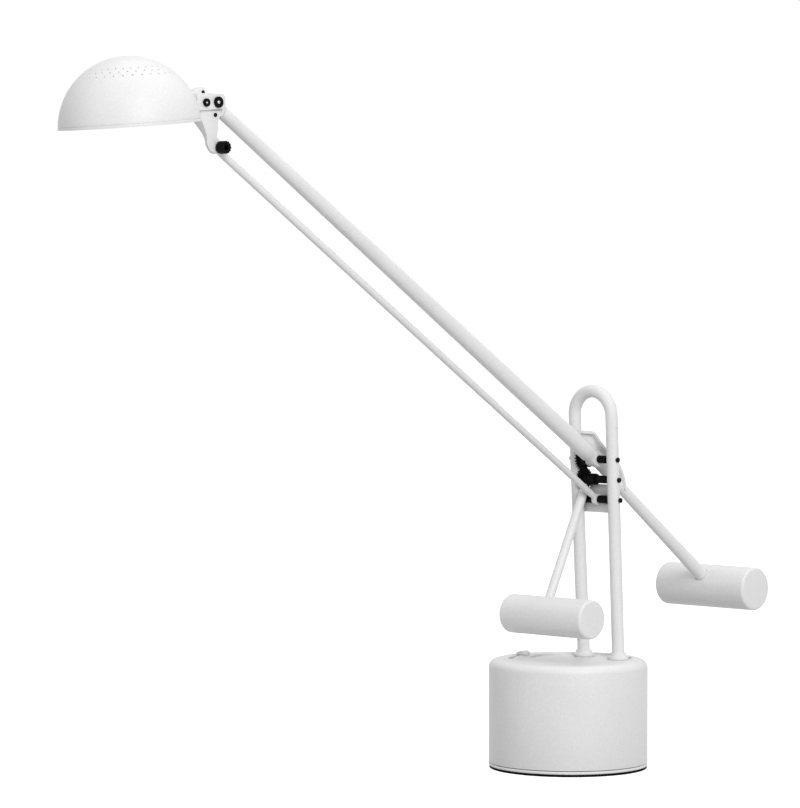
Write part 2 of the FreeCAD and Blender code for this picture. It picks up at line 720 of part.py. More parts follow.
def make_terminals_and_inlet():
    body = block(terminal_length, terminal_width, terminal_height,
                 (-terminal_length / 2, terminal_y, floor_top))
    pitch = terminal_length / terminal_holes
    holes = []
    for index in range(terminal_holes):
        x = pitch * (index + 0.5) - terminal_length / 2
        z = floor_top + terminal_height / 2
        holes.append(cross_rod(terminal_height / 4, terminal_y - overrun,
                               terminal_y + terminal_width + overrun, x, z))
    node(cut(body, *holes), "terminal_block")

    sleeve = inlet_radius + inlet_wall
    node(turned([
        (inlet_radius, 0),
        (sleeve, 0),
        (sleeve, inlet_length - inlet_flange_thick),
        (sleeve + inlet_flange, inlet_length - inlet_flange_thick),
        (sleeve + inlet_flange, inlet_length - inlet_flange_thick / 2),
        (sleeve + inlet_flange / 2, inlet_length),
        (inlet_radius, inlet_length),
    ], (base_radius + inlet_flange_thick - inlet_length, 0, inlet_z), (0, 1, 0), RIGHT_ANGLE), "cord_inlet")


def make_switch():
    inner = slot_circle - slot_width / 2 - switch_margin
    outer = slot_circle + slot_width / 2 + switch_margin
    housing = sector(inner, outer, switch_height, slot_start - switch_overlap,
                     slot_sweep + switch_overlap * 2, ceiling - switch_height)
    room = sector(slot_circle - slot_width / 2, slot_circle + slot_width / 2, switch_height / 2,
                  slot_start, slot_sweep, ceiling - switch_height / 2)
    node(cut(housing, room), "switch_housing")

    # the tab is drawn on the +X bearing and turned to the slot's first end, half its width in
    bearing = slot_start + tab_rest
    stem_depth = slot_width - side_gap * 2
    stem_bottom = ceiling - switch_height / 2 + side_gap
    foot_x = slot_circle - stem_depth / 2
    x, y = on_circle(foot_x, bearing)
    shift = tab_width / 2
    stem = block(stem_depth, tab_width, base_height + side_gap * 2 - stem_bottom,
                 (x + sine(bearing) * shift, y - cosine(bearing) * shift, stem_bottom), (0, 0, 1), bearing)
    x, y = on_circle(slot_circle, bearing)
    cap = plate([
        (-(tab_length / 2), 0),
        (tab_length / 2, 0),
        (tab_length / 2 - tab_height / 2, tab_height * 0.6),
        (-(tab_length / 4), tab_height),
        (-(tab_length / 2), tab_height * 0.6),
    ], -(tab_width / 2), tab_width / 2, (x, y, base_height + side_gap), (0, 0, 1), bearing)
    node(fuse(stem, cap), "switch_tab")


# ---------------------------------------------------------------- mast, standing on the drum


def make_mast_loop():
    """One tube, bent to a hairpin: up one leg, round the bend and down the other."""
    foot = -(dish_depth / cosine(mast_lean)) - 1
    tangent_y = cosine(leg_splay) * bend_radius
    tangent_z = mast_height - sine(leg_splay) * bend_radius
    run = (tangent_z - foot) / cosine(leg_splay)
    foot_y = tangent_y - sine(leg_splay) * run
    body = new_body((mast_x, 0, base_height), (0, 1, 0), -mast_lean)
    path = attached_sketch(body, "YZ_Plane")
    draw(path, [
        (-foot_y, foot),
        (-tangent_y, tangent_z),
        (0, mast_height + bend_radius, bend_radius, -1),
        (tangent_y, tangent_z, bend_radius, -1),
        (foot_y, foot),
    ], closed=False)
    section = attached_sketch(body, "XY_Plane", foot)
    ring(section, tube_radius, 0, -foot_y)
    ring(section, tube_radius - tube_wall, 0, -foot_y)
    pipe = body.newObject("PartDesign::AdditivePipe", "hairpin")
    pipe.Profile = (section, [""])
    pipe.Spine = (path, [""])
    pins = [cross_rod(pin_radius + running_gap, -(pin_reach + overrun), pin_reach + overrun, x, z)
            for x, z in PIN_AXES]
    node(cut(body, below_dish(), *pins), "mast_loop")


def below_dish():
    """Room under the dish's floor, which trims the leaning mast level with it."""
    reach_x = collar_radius * 2
    reach_y = bend_radius + collar_radius * 2
    corner = (mast_x - reach_x, -reach_y, dish_floor - top_thick * 2)
    return block(reach_x * 2, reach_y * 2, top_thick * 2, corner)


PIN_AXES = (
    (top_pin_x, top_pin_z),
    (middle_pin_x, middle_pin_z),
    (bottom_pin_x, bottom_pin_z),
)


def make_mast_feet():
    bore = tube_radius + running_gap
    neck = bore + collar_neck
    half, x = leg_line(dish_floor)
    collars = []
    studs = []
    nuts = []
    for side in (-1, 1):
        at = (x, side * half, dish_floor)
        collars.append(turned([
            (bore, -1),
            (collar_radius, -1),
            (collar_radius, collar_foot),
            (neck, collar_height - 1, collar_height, -1),
            (neck, collar_height),
            (bore, collar_height),
        ], at, (0, 1, 0), -mast_lean))
        low_x = x + sine(mast_lean) * mast_stud_down
        low_z = dish_floor - cosine(mast_lean) * mast_stud_down
        studs.append(rod(mast_stud_radius, mast_stud_down + mast_stud_up, (low_x, side * half, low_z),
                         (0, 1, 0), -mast_lean))
        drop = top_thick - dish_depth + mast_nut_height + side_gap
        nut_x = x + sine(mast_lean) * drop
        nut_z = dish_floor - cosine(mast_lean) * drop
        at = (nut_x, side * half, nut_z)
        nut = hexagon(mast_nut_radius, mast_nut_height, at, (0, 1, 0), -mast_lean)
        hole = rod(mast_stud_radius + running_gap, mast_nut_height, at, (0, 1, 0), -mast_lean)
        nuts.append(cut(nut, hole))
    node(cut(fuse(*collars), below_dish()), "foot_collars")
    node(fuse(*studs), "mast_studs")
    node(fuse(*nuts), "mast_nuts")


def pin_along_y(x, z, reach, radius, head_radius, head_thick):
    """A pin with a low round head at each end."""
    shank = cross_rod(radius, -reach, reach, x, z)
    near = cross_rod(head_radius, -(reach + head_thick), -reach, x, z)
    far = cross_rod(head_radius, reach, reach + head_thick, x, z)
    return fuse(shank, near, far)


def sleeve_along_y(x, z, start, end, radius, bore):
    return cut(cross_rod(radius, start, end, x, z), cross_rod(bore, start, end, x, z))


def make_pins_and_spacers():
    for label, (x, z) in zip(("top_pin", "middle_pin", "bottom_pin"), PIN_AXES):
        node(pin_along_y(x, z, pin_reach, pin_radius, pin_head_radius, pin_head_thick), label)
    bore = pin_radius + running_gap
    node(sleeve_along_y(top_pin_x, top_pin_z, -spacer_reach, -(hub_half + side_gap),
                        spacer_radius, bore), "top_spacer")
    node(sleeve_along_y(middle_pin_x, middle_pin_z, -spacer_reach, -(lever_hub_near + side_gap),
                        spacer_radius, bore), "middle_spacer")
    inner = rod_eye_half + side_gap
    near = sleeve_along_y(bottom_pin_x, bottom_pin_z, -spacer_reach, -inner, spacer_radius, bore)
    far = sleeve_along_y(bottom_pin_x, bottom_pin_z, inner, spacer_reach, spacer_radius, bore)
    node(fuse(near, far), "bottom_spacers")


def make_cross_plate():
    """A thin plate behind the legs, with a window behind the lowest pin."""
    half, x = leg_line(plate_top)
    low = plate_top - plate_tall
    up_length = plate_tall / cosine(mast_lean)
    back = tube_radius / cosine(mast_lean)
    spot = (x + back + sine(mast_lean) / cosine(mast_lean) * plate_tall, -plate_half, low)
    sheet_metal = block(plate_back, plate_half * 2, up_length, spot, (0, 1, 0), -mast_lean)
    window = block(plate_back * 4, spacer_reach * 2, plate_window,
                   (x, -spacer_reach, bottom_pin_z - plate_window / 2))
    legs = [rod(tube_radius, plate_tall * 3, (leg_line(low - plate_tall)[1], side * half, low - plate_tall),
                (0, 1, 0), -mast_lean) for side in (-1, 1)]
    relief = cross_rod(gear_relief, gear_near - side_gap, plate_half, middle_pin_x, middle_pin_z)
    node(cut(sheet_metal, window, relief, *legs), "cross_plate")


# ---------------------------------------------------------------- arm


def gear_outline(phase):
    """A gear's outline from tooth to tooth: straight flanks between root and tip."""
    pitch_radius = float(gear_module) * gear_teeth / 2
    tip = pitch_radius + float(gear_module) * 0.92
    foot = pitch_radius - float(gear_module) * 1.2
    step = 2 * math.pi / gear_teeth
    # share of a tooth's pitch, from its middle, where each corner lies
    foot_share = 0.34
    tip_share = 0.13
    corners = []
    for tooth in range(gear_teeth):
        middle = phase + tooth * step
        for radius, share in ((foot, -foot_share), (tip, -tip_share), (tip, tip_share), (foot, foot_share)):
            angle = middle + share * step
            corners.append(FreeCAD.Vector(radius * math.sin(angle), 0, radius * math.cos(angle)))
    return corners


def gear_disc(x, z, facing):
    """A gear between gear_near and gear_far; a tooth or a gap faces along `facing` from +Z."""
    corners = gear_outline(facing)
    wire = Part.makePolygon(corners + corners[:1])
    thickness = float(gear_far) - float(gear_near)
    item = doc.addObject("Part::Feature", "gear")
    item.Shape = Part.Face(wire).extrude(FreeCAD.Vector(0, thickness, 0))
    return place(item, (x, gear_near, z))


def make_arm():
    lead = arm_rise - RIGHT_ANGLE
    pivot = (top_pin_x, 0, top_pin_z)
    bore = cross_rod(pin_radius + running_gap, -(spacer_reach + 1), spacer_reach + 1, top_pin_x, top_pin_z)

    node(tube(arm_root_radius, arm_tip_radius, arm_wall, arm_start, arm_length - arm_end, lead, pivot),
         "main_arm")

    # root: a boss on the pin, a spigot into each tube and a web up to the saddle
    spigot_out = arm_root_radius - arm_wall - running_gap
    spigot_in = rear_start_radius - arm_wall - running_gap
    reach = arm_start + spigot_length
    front = rod(spigot_out, reach, pivot, (0, 1, 0), lead)
    rear = rod(spigot_in, reach, pivot, (0, 1, 0), RIGHT_ANGLE + rear_drop)
    boss = cross_rod(hub_radius, -hub_half, hub_half, top_pin_x, top_pin_z)
    saddle_inner = saddle_curve(saddle_thick)
    web = plate(saddle_inner + [(11.5, -10.0), (-2.0, -5.0), (-9.0, 0.0), (-17.0, 9.0)],
                -web_half, web_half, pivot)
    slab = block(reach * 4, hub_half * 2, reach * 4,
                 (top_pin_x - reach * 2, -hub_half, top_pin_z - reach * 2))
    tubes = fuse(solid_taper(lead, arm_root_radius, arm_tip_radius, arm_start, arm_length - arm_end),
                 solid_taper(RIGHT_ANGLE + rear_drop, rear_start_radius, rear_end_radius,
                             rear_start(), rear_length))
    node(cut(fuse(cut(web, tubes), common(front, slab), rear, boss), bore), "arm_root")

    saddle = plate(there_and_back(saddle_inner, saddle_curve(0)), -saddle_half, saddle_half, pivot)
    node(cut(saddle, tubes), "arm_saddle")

    hub = cross_rod(gear_hub_radius, hub_half + fit_gap, gear_near, top_pin_x, top_pin_z)
    disc = gear_disc(top_pin_x, top_pin_z, math.pi - math.radians(float(link_lean)))
    node(cut(fuse(hub, disc), bore), "arm_gear")

    node(tube(rear_start_radius, rear_end_radius, arm_wall, rear_start(),
              rear_length, RIGHT_ANGLE + rear_drop, pivot), "rear_arm")
    seat = rod(rear_end_radius + fit_gap, rear_length + fit_gap, pivot, (0, 1, 0), RIGHT_ANGLE + rear_drop)
    weight = weight_bar(rear_weight_radius, rear_weight_length, rear_x, rear_z)
    node(cut(weight, seat), "rear_weight")

    eye = cross_rod(tongue_radius, -tongue_half, tongue_half, head_x, head_z)
    neck_height = tongue_radius * 1.5
    spot = (head_x + cosine(arm_rise) * arm_end - sine(arm_rise) * (neck_height / 2), -tongue_half,
            head_z - sine(arm_rise) * arm_end - cosine(arm_rise) * (neck_height / 2))
    neck = block(neck_height, tongue_half * 2, arm_end, spot, (0, 1, 0), lead)
    plug_start = arm_end + plug_length
    plug = rod(arm_tip_radius - arm_wall - running_gap, plug_length,
               (head_x + cosine(arm_rise) * plug_start, 0, head_z - sine(arm_rise) * plug_start),
               (0, 1, 0), lead)
    hole = cross_rod(head_pin_radius + running_gap, -(tongue_half + 1), tongue_half + 1, head_x, head_z)
    node(cut(fuse(eye, neck, plug), hole), "arm_tongue")


def rear_start():
    return hub_radius


def solid_taper(lead, first, second, start, end):
    spot = (top_pin_x + sine(lead) * start, 0, top_pin_z + cosine(lead) * start)
    return taper(first, second, end - start, spot, (0, 1, 0), lead)


# the saddle's upper line from the ear over the hub to the rear arm: each corner's place from
# the arm pivot, the way inwards there, and the arc's radius and turn that lead to it
SADDLE = (
    (-18.2, 22.4, -0.08, -1.0, 0, 0),
    (-8.0, 21.6, -0.08, -1.0, 0, 0),
    (-2.2, 18.6, -0.79, -0.62, 8.0, -1),
    (14.6, 3.6, -0.52, -0.86, 60.0, 1),
    (31.9, -24.5, -1.0, -0.08, 36.0, -1),
)


def saddle_curve(depth):
    """The saddle's line at a depth below its upper side."""
    depth = term(depth)
    corners = []
    for x, z, in_x, in_z, radius, turn in SADDLE:
        corner = (x + depth * in_x, z + depth * in_z)
        if turn:
            corner = corner + (radius + depth * turn, turn)
        corners.append(corner)
    return corners


def there_and_back(first, second):
    """A closed outline along one line and back along another one."""
    outline = list(first)
    arc = ()
    for entry in reversed(second):
        outline.append(entry[:2] + arc)
        arc = (entry[2], -entry[3]) if len(entry) == 4 else ()
    return outline


def weight_bar(radius, length, x, z):
    """A round bar with softened ends, lying across the arm's plane."""
    half = length / 2
    return turned([
        (0, -half),
        (radius - weight_round, -half),
        (radius, weight_round - half, weight_round, 1),
        (radius, half - weight_round),
        (radius - weight_round, half, weight_round, 1),
        (0, half),
    ], (x, 0, z), (1, 0, 0), -RIGHT_ANGLE)


# ---------------------------------------------------------------- lever and front weight


def make_lever():
    bore = cross_rod(pin_radius + running_gap, -spacer_reach, spacer_reach, middle_pin_x, middle_pin_z)
    eye_far = gear_near - fit_gap
    lead = lever_lean - FULL_TURN / 2
    at = (middle_pin_x, lever_y, middle_pin_z)
    spot = (middle_pin_x + sine(lead) * lever_start, lever_y, middle_pin_z + cosine(lead) * lever_start)
    shaft = rod(lever_radius, lever_length - lever_start, spot, (0, 1, 0), lead)
    neck = rod(lever_neck_radius, lever_start + lever_neck_radius, at, (0, 1, 0), lead)
    eye = cross_rod(lever_eye_radius, lever_eye_near, eye_far, middle_pin_x, middle_pin_z)
    node(cut(fuse(shaft, neck, eye), bore), "lever_tube")
    node(cut(cross_rod(lever_hub_radius, -lever_hub_near, lever_eye_near - fit_gap, middle_pin_x,
                       middle_pin_z), bore), "lever_hub")
    half_tooth = math.pi / gear_teeth
    disc = gear_disc(middle_pin_x, middle_pin_z, half_tooth - math.radians(float(link_lean)))
    node(cut(disc, bore), "lever_gear")
    seat = rod(lever_radius + fit_gap, lever_length + fit_gap, at, (0, 1, 0), lead)
    weight = weight_bar(front_weight_radius, front_weight_length, front_x, front_z)
    node(cut(weight, seat), "front_weight")


# ---------------------------------------------------------------- tie rod


def make_tie_rod():
    lead = arm_rise - RIGHT_ANGLE
    start = rod_eye_radius + rod_neck
    low = (bottom_pin_x, 0, bottom_pin_z)
    spot = (bottom_pin_x + sine(lead) * start, 0, bottom_pin_z + cosine(lead) * start)
    node(rod(rod_radius, arm_length - start * 2, spot, (0, 1, 0), lead), "tie_rod")
    ends = (
        ("rod_lower_eye", low, lead, pin_radius + running_gap),
        ("rod_upper_eye", (rod_head_x, 0, rod_head_z), lead + FULL_TURN / 2, head_pin_radius + rod_open_gap),
    )
    for label, at, direction, hole in ends:
        x, y, z = at
        eye = cross_rod(rod_eye_radius, -rod_eye_half, rod_eye_half, x, z)
        shank = taper(rod_eye_half, rod_radius, start, at, (0, 1, 0), direction)
        bore = cross_rod(hole, -(rod_eye_half + 1), rod_eye_half + 1, x, z)
        node(cut(fuse(eye, shank), bore), label)


# ---------------------------------------------------------------- head bracket


def make_head_bracket():
    at = (head_x, 0, head_z)
    cheek = [
        (-18.9, -6.4),
        (7.0, -6.4 + 2.2),
        (7.0, 4.0),
        (5.4, 5.6),
        (-17.6, 5.6),
        (-18.9, 4.3),
    ]
    near = plate(cheek, -cheek_outer, -cheek_gap, at)
    far = plate(cheek, cheek_gap, cheek_outer, at)
    down_x = bottom_pin_x - top_pin_x
    down_z = bottom_pin_z - top_pin_z
    lobe = knob_radius - 0.1
    tail_face = cheek_gap + tail_thick
    tail = plate([
        (-16.2, -5.6),
        (-13.4, -11.8),
        (-8.3, -21.7),
        (-7.9, -29.0),
        (-5.0, -33.2),
        (down_x, down_z - lobe),
        (down_x + lobe, down_z, lobe, 1),
        (down_x + 1.4, down_z + lobe),
        (0.8, -23.6),
        (2.0, -19.0),
        (2.4, -12.0),
        (4.4, -8.6),
        (4.4, -5.6),
    ], -tail_face, -cheek_gap, at)
    web = plate([
        (-16.2, -5.9),
        (-13.4, -11.8),
        (-8.3, -21.7),
        (-7.9, -29.0),
        (web_thick - 7.9, -29.0),
        (web_thick - 8.3, -21.3),
        (web_thick - 13.4, -11.4),
        (web_thick - 16.2 + 0.4, -5.9),
    ], -tail_face, tail_face, at)
    # the web's far edge slopes down to the tail
    room = lug_radius * 4
    corner = (head_x - room / 2, tail_face, head_z - web_corner)
    slope = block(room, room / 2, room, corner, (1, 0, 0), -(RIGHT_ANGLE + web_taper))
    holes = [cross_rod(head_pin_radius + fit_gap, -(cheek_outer + overrun), cheek_outer + overrun, x, z)
             for x, z in HEAD_PINS]
    node(cut(fuse(near, far, tail, cut(web, slope)), *holes), "head_bracket")

    screws = (
        ("arm_pivot_screw", head_x, head_z, arm_screw_radius),
        ("shade_pivot_screw", shade_pin_x, shade_pin_z, shade_screw_radius),
    )
    for label, x, z, radius in screws:
        shank = cross_rod(head_pin_radius, -cheek_outer, cheek_outer, x, z)
        top = cheek_outer + head_screw_thick
        head = cross_rod(radius, -top, -cheek_outer, x, z)
        nut = hexagon(head_nut_radius, head_screw_thick, (x, cheek_outer, z), (1, 0, 0), -RIGHT_ANGLE)
        socket = hexagon(radius * 0.5, head_screw_thick / 2, (x, -top, z), (1, 0, 0), -RIGHT_ANGLE)
        node(cut(fuse(shank, head, nut), socket), label)

    inner = rod_eye_half + side_gap
    shank = cross_rod(head_pin_radius, -tail_face, inner, rod_head_x, rod_head_z)
    grip = cross_rod(knob_radius, -(tail_face + knob_length), -tail_face, rod_head_x, rod_head_z)
    nut = hexagon(head_nut_radius, head_screw_thick, (rod_head_x, inner, rod_head_z),
                  (1, 0, 0), -RIGHT_ANGLE)
    node(fuse(shank, grip, nut), "rod_knob")

    rivet = cross_rod(rivet_radius, -(tail_face + rivet_head), -tail_face,
                      head_x - rivet_back, head_z - rivet_drop)
    node(rivet, "bracket_rivet")


HEAD_PINS = (
    (head_x, head_z),
    (shade_pin_x, shade_pin_z),
    (rod_head_x, rod_head_z),
)


# ---------------------------------------------------------------- shade


def dome_height(radius, lift=0):
    """The radius at which a sphere about the dome's centre reaches a height."""
    return root(radius * radius - lift * lift)


def make_shade():
    at = (dome_x, 0, dome_z)
    tilt = -shade_tilt
    outer = shade_radius
    inner = shade_radius - shade_wall
    rim_out = dome_height(outer, rim_lift)
    rim_in = dome_height(inner, rim_lift)
    bead = rim_bead
    dome = dome_body(at, tilt, outer, inner, rim_in, rim_out, bead)
    vents = []
    for index in range(vent_count):
        bearing = FULL_TURN / vent_count * (index + 0.5)
        vents.append(vent_drill(at, tilt, bearing))
    node(cut(dome, *vents), "shade")


def dome_body(at, tilt, outer, inner, rim_in, rim_out, bead):
    return turned([
        (rim_in, rim_lift),
        (rim_out + bead * 0.3, rim_lift),
        (rim_out + bead * 0.3, rim_lift + bead),
        (dome_height(outer, rim_lift + bead * 2), rim_lift + bead * 2),
        (0, outer, outer, 1),
        (0, inner),
        (dome_height(inner, rim_lift + bead), rim_lift + bead, inner, -1),
    ], at, (0, 1, 0), tilt)


def vent_drill(at, tilt, bearing):
    """A straight drill from the dome's centre, at a bearing round its axis."""
    lean = float(vent_angle)
    direction = FreeCAD.Vector(
        math.sin(math.radians(lean)) * math.cos(math.radians(bearing)),
        math.sin(math.radians(lean)) * math.sin(math.radians(bearing)),
        math.cos(math.radians(lean)),
    )
    spin = FreeCAD.Rotation(FreeCAD.Vector(0, 1, 0), float(tilt))
    item = doc.addObject("Part::Feature", "vent")
    centre = FreeCAD.Vector(*[float(value) for value in at])
    middle = float(shade_radius)
    drill = float(shade_wall) * 7
    start = centre + spin.multVec(direction) * (middle - drill / 2)
    item.Shape = Part.makeCylinder(float(vent_radius), drill, start, spin.multVec(direction))
    return item


def in_shade(x, y, z):
    """A point given in the shade's own frame, in the lamp's frame."""
    turn = -shade_tilt
    return (dome_x + cosine(turn) * x + sine(turn) * z, y, dome_z - sine(turn) * x + cosine(turn) * z)


def make_shade_lug():
    at = (shade_pin_x, 0, shade_pin_z)
    disc = cross_rod(lug_radius, -tongue_half, tongue_half, shade_pin_x, shade_pin_z)
    wedge = plate([
        (0, -lug_low),
        (0, 0),
        (6.0, 15.0),
        (-15.0, 15.0),
        (-15.0, -lug_low),
    ], -tongue_half, tongue_half, at)
    hub = cross_rod(lug_hub, -tongue_half, tongue_half, shade_pin_x, shade_pin_z)
    neck = block(shade_reach, tongue_half * 2, lug_low + lug_high,
                 (dome_x, -tongue_half, shade_pin_z - lug_low))
    dome = primitive("Sphere", {"Radius": shade_radius}, (dome_x, 0, dome_z), (0, 1, 0), 0)
    flange = block(6, 9, lug_low + lug_high + 4, (dome_x + shade_radius - 8, -4.5, shade_pin_z - lug_low - 3))
    cheeks = cross_rod(lug_radius + 1.6, -7, 7, shade_pin_x, shade_pin_z)
    stop_x = shade_pin_x + 1.6
    stop_z = shade_pin_z + 7.0
    bores = [
        cross_rod(head_pin_radius + running_gap, -(tongue_half + 1), tongue_half + 1,
                  shade_pin_x, shade_pin_z),
        cross_rod(rivet_radius, -(tongue_half + 1), tongue_half + 1, stop_x, stop_z),
    ]
    node(cut(fuse(common(disc, wedge), hub, neck, cut(flange, cheeks)), dome, *bores), "shade_lug")
    node(cross_rod(rivet_radius, -(tongue_half + 0.2), tongue_half + 0.2, stop_x, stop_z), "stop_pin")


def make_lamp():
    tilt = -shade_tilt
    at = (dome_x, 0, dome_z)
    inner = reflector_radius - reflector_wall
    bowl = reflector_bowl(at, tilt, inner)
    room = rod(holder_radius + fit_gap * 4, shade_radius, in_shade(holder_start, 0, holder_z), (0, 1, 0),
               RIGHT_ANGLE + tilt)
    node(cut(bowl, room), "reflector")

    holder = rod(holder_radius, holder_length, in_shade(holder_start, 0, holder_z), (0, 1, 0),
                 RIGHT_ANGLE + tilt)
    holes = []
    pins = []
    for side in (-1, 1):
        y = side * bulb_pin_space
        spot = in_shade(holder_start - 1, y, holder_z)
        holes.append(rod(bulb_pin_radius + fit_gap, bulb_pin_length + 1, spot, (0, 1, 0), RIGHT_ANGLE + tilt))
        spot = in_shade(holder_start - 1.2, y, holder_z)
        pins.append(rod(bulb_pin_radius, bulb_pin_length, spot, (0, 1, 0), RIGHT_ANGLE + tilt))
    node(cut(holder, *holes), "lampholder")
    node(fuse(*pins), "bulb_pins")

    capsule_start = holder_start - 1 - bulb_length
    x, y, z = in_shade(capsule_start, 0, holder_z)
    node(turned([
        (0, 0),
        (bulb_radius, bulb_radius, bulb_radius, 1),
        (bulb_radius, bulb_length - 3),
        (bulb_radius * 0.7, bulb_length - 0.3),
        (0, bulb_length - 0.3),
    ], (x, y, z), (0, 1, 0), RIGHT_ANGLE + tilt), "bulb")

    end = holder_start + holder_length
    wall_x = root((shade_radius - shade_wall) * (shade_radius - shade_wall) - holder_z * holder_z)
    strap = block(wall_x - end, 10, 3, in_shade(end, -5, holder_z - 1.5), (0, 1, 0), tilt)
    inside = primitive("Sphere", {"Radius": shade_radius - shade_wall}, at, (0, 1, 0), 0)
    node(common(strap, inside), "holder_bracket")


def reflector_bowl(at, tilt, inner):
    return turned([
        (dome_height(inner, reflector_edge_z), reflector_edge_z),
        (dome_height(reflector_radius, reflector_edge_z), reflector_edge_z),
        (0, reflector_radius, reflector_radius, 1),
        (0, inner),
        (dome_height(inner, reflector_edge_z + 0.5), reflector_edge_z + 0.5, inner, -1),
    ], at, (0, 1, 0), tilt)


# ---------------------------------------------------------------- build, check and write

make_foot()
make_shell()
make_floor_and_swivel_bush()
make_stays()
make_transformer()
make_terminals_and_inlet()
make_switch()
make_mast_loop()
make_mast_feet()
make_pins_and_spacers()
make_cross_plate()
make_arm()
make_lever()
make_tie_rod()
make_head_bracket()
make_shade()
make_shade_lug()
make_lamp()
doc.recompute()

for item in doc.Objects:
    if "Invalid" in item.State or "Error" in item.State:
        raise RuntimeError("%s (%s) is in state %s" % (item.Name, item.Label, item.State))
for item in NODES:
    if item.Shape.isNull() or not item.Shape.isValid() or not item.Shape.Solids:
        raise RuntimeError("%s has no valid solid" % item.Label)

os.makedirs("parts", exist_ok=True)
for item in NODES:
    item.Shape.exportStep("parts/%s.step" % item.Label)
    box = item.Shape.BoundBox
    print("%-20s %d solids %9.1f mm3  x %.1f..%.1f y %.1f..%.1f z %.1f..%.1f" % (
        item.Label, len(item.Shape.Solids), item.Shape.Volume,
        box.XMin, box.XMax, box.YMin, box.YMax, box.ZMin, box.ZMax))
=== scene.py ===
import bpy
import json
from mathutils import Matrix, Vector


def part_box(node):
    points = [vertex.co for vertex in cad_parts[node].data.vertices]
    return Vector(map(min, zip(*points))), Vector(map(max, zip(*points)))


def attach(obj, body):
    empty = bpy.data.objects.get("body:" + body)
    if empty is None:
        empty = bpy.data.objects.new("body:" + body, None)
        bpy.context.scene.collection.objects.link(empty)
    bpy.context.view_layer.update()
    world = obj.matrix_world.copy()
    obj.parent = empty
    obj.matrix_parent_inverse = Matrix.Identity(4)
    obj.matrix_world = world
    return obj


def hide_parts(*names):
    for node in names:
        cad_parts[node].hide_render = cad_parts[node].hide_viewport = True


bl_info = {
    "name": "Balance Desk Lamp",
    "version": (1, 0, 0),
    "blender": (4, 5, 0),
    "location": "View3D > Sidebar > Lamp",
    "description": "Builds and finishes a counterweight balance desk lamp round its CAD frame",
    "category": "Object",
}

import json
import math

import bmesh
import bpy
from bpy.props import FloatProperty, FloatVectorProperty, IntProperty, PointerProperty
from mathutils import Euler, Matrix, Vector

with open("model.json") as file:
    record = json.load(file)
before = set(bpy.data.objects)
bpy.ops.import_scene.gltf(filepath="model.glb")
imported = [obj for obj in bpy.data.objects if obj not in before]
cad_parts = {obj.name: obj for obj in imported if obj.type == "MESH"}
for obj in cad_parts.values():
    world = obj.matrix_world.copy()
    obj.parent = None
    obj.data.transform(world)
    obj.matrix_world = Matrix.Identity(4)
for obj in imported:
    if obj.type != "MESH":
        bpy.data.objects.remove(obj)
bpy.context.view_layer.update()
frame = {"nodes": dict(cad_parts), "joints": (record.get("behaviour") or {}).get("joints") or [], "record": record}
NODES = frame["nodes"]
RECORD = frame["record"]
JOINTS = {joint["name"]: joint for joint in frame["joints"]}
BODY_OF = {node: body for body, nodes in RECORD["behaviour"]["bodies"].items()
           for node in nodes}
SLOT_OF = {part["node"]: part["material_slot"] for part in RECORD["subparts"]}

MM = 0.001
TURN = 2 * math.pi


def centre(node):
    """The middle of a CAD node's box."""
    low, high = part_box(node)
    return (low + high) / 2


def pivot(joint):
    return Vector(JOINTS[joint]["pos_m"])


# ---------------------------------------------------------------- settings a user may change


class LampColours(bpy.types.PropertyGroup):
    """Colours of the lamp's finishes."""

    paint: FloatVectorProperty(
        name="Paint", description="Lacquer of the drum, mast, arm, weights and shade",
        default=(0.765, 0.765, 0.765), size=3, min=0, max=1, subtype="COLOR")
    black: FloatVectorProperty(
        name="Black parts", description="Gears, knob, spacers and screws",
        default=(0.0025, 0.0025, 0.0026), size=3, min=0, max=1, subtype="COLOR")
    rubber: FloatVectorProperty(
        name="Foot pad", description="Rubber under the drum",
        default=(0.005, 0.005, 0.0052), size=3, min=0, max=1, subtype="COLOR")
    copper: FloatVectorProperty(
        name="Winding", description="Enamelled wire of the transformer",
        default=(0.55, 0.22, 0.08), size=3, min=0, max=1, subtype="COLOR")
    floor: FloatVectorProperty(
        name="Floor", description="Paper the lamp stands on",
        default=(0.42, 0.42, 0.42), size=3, min=0, max=1, subtype="COLOR")


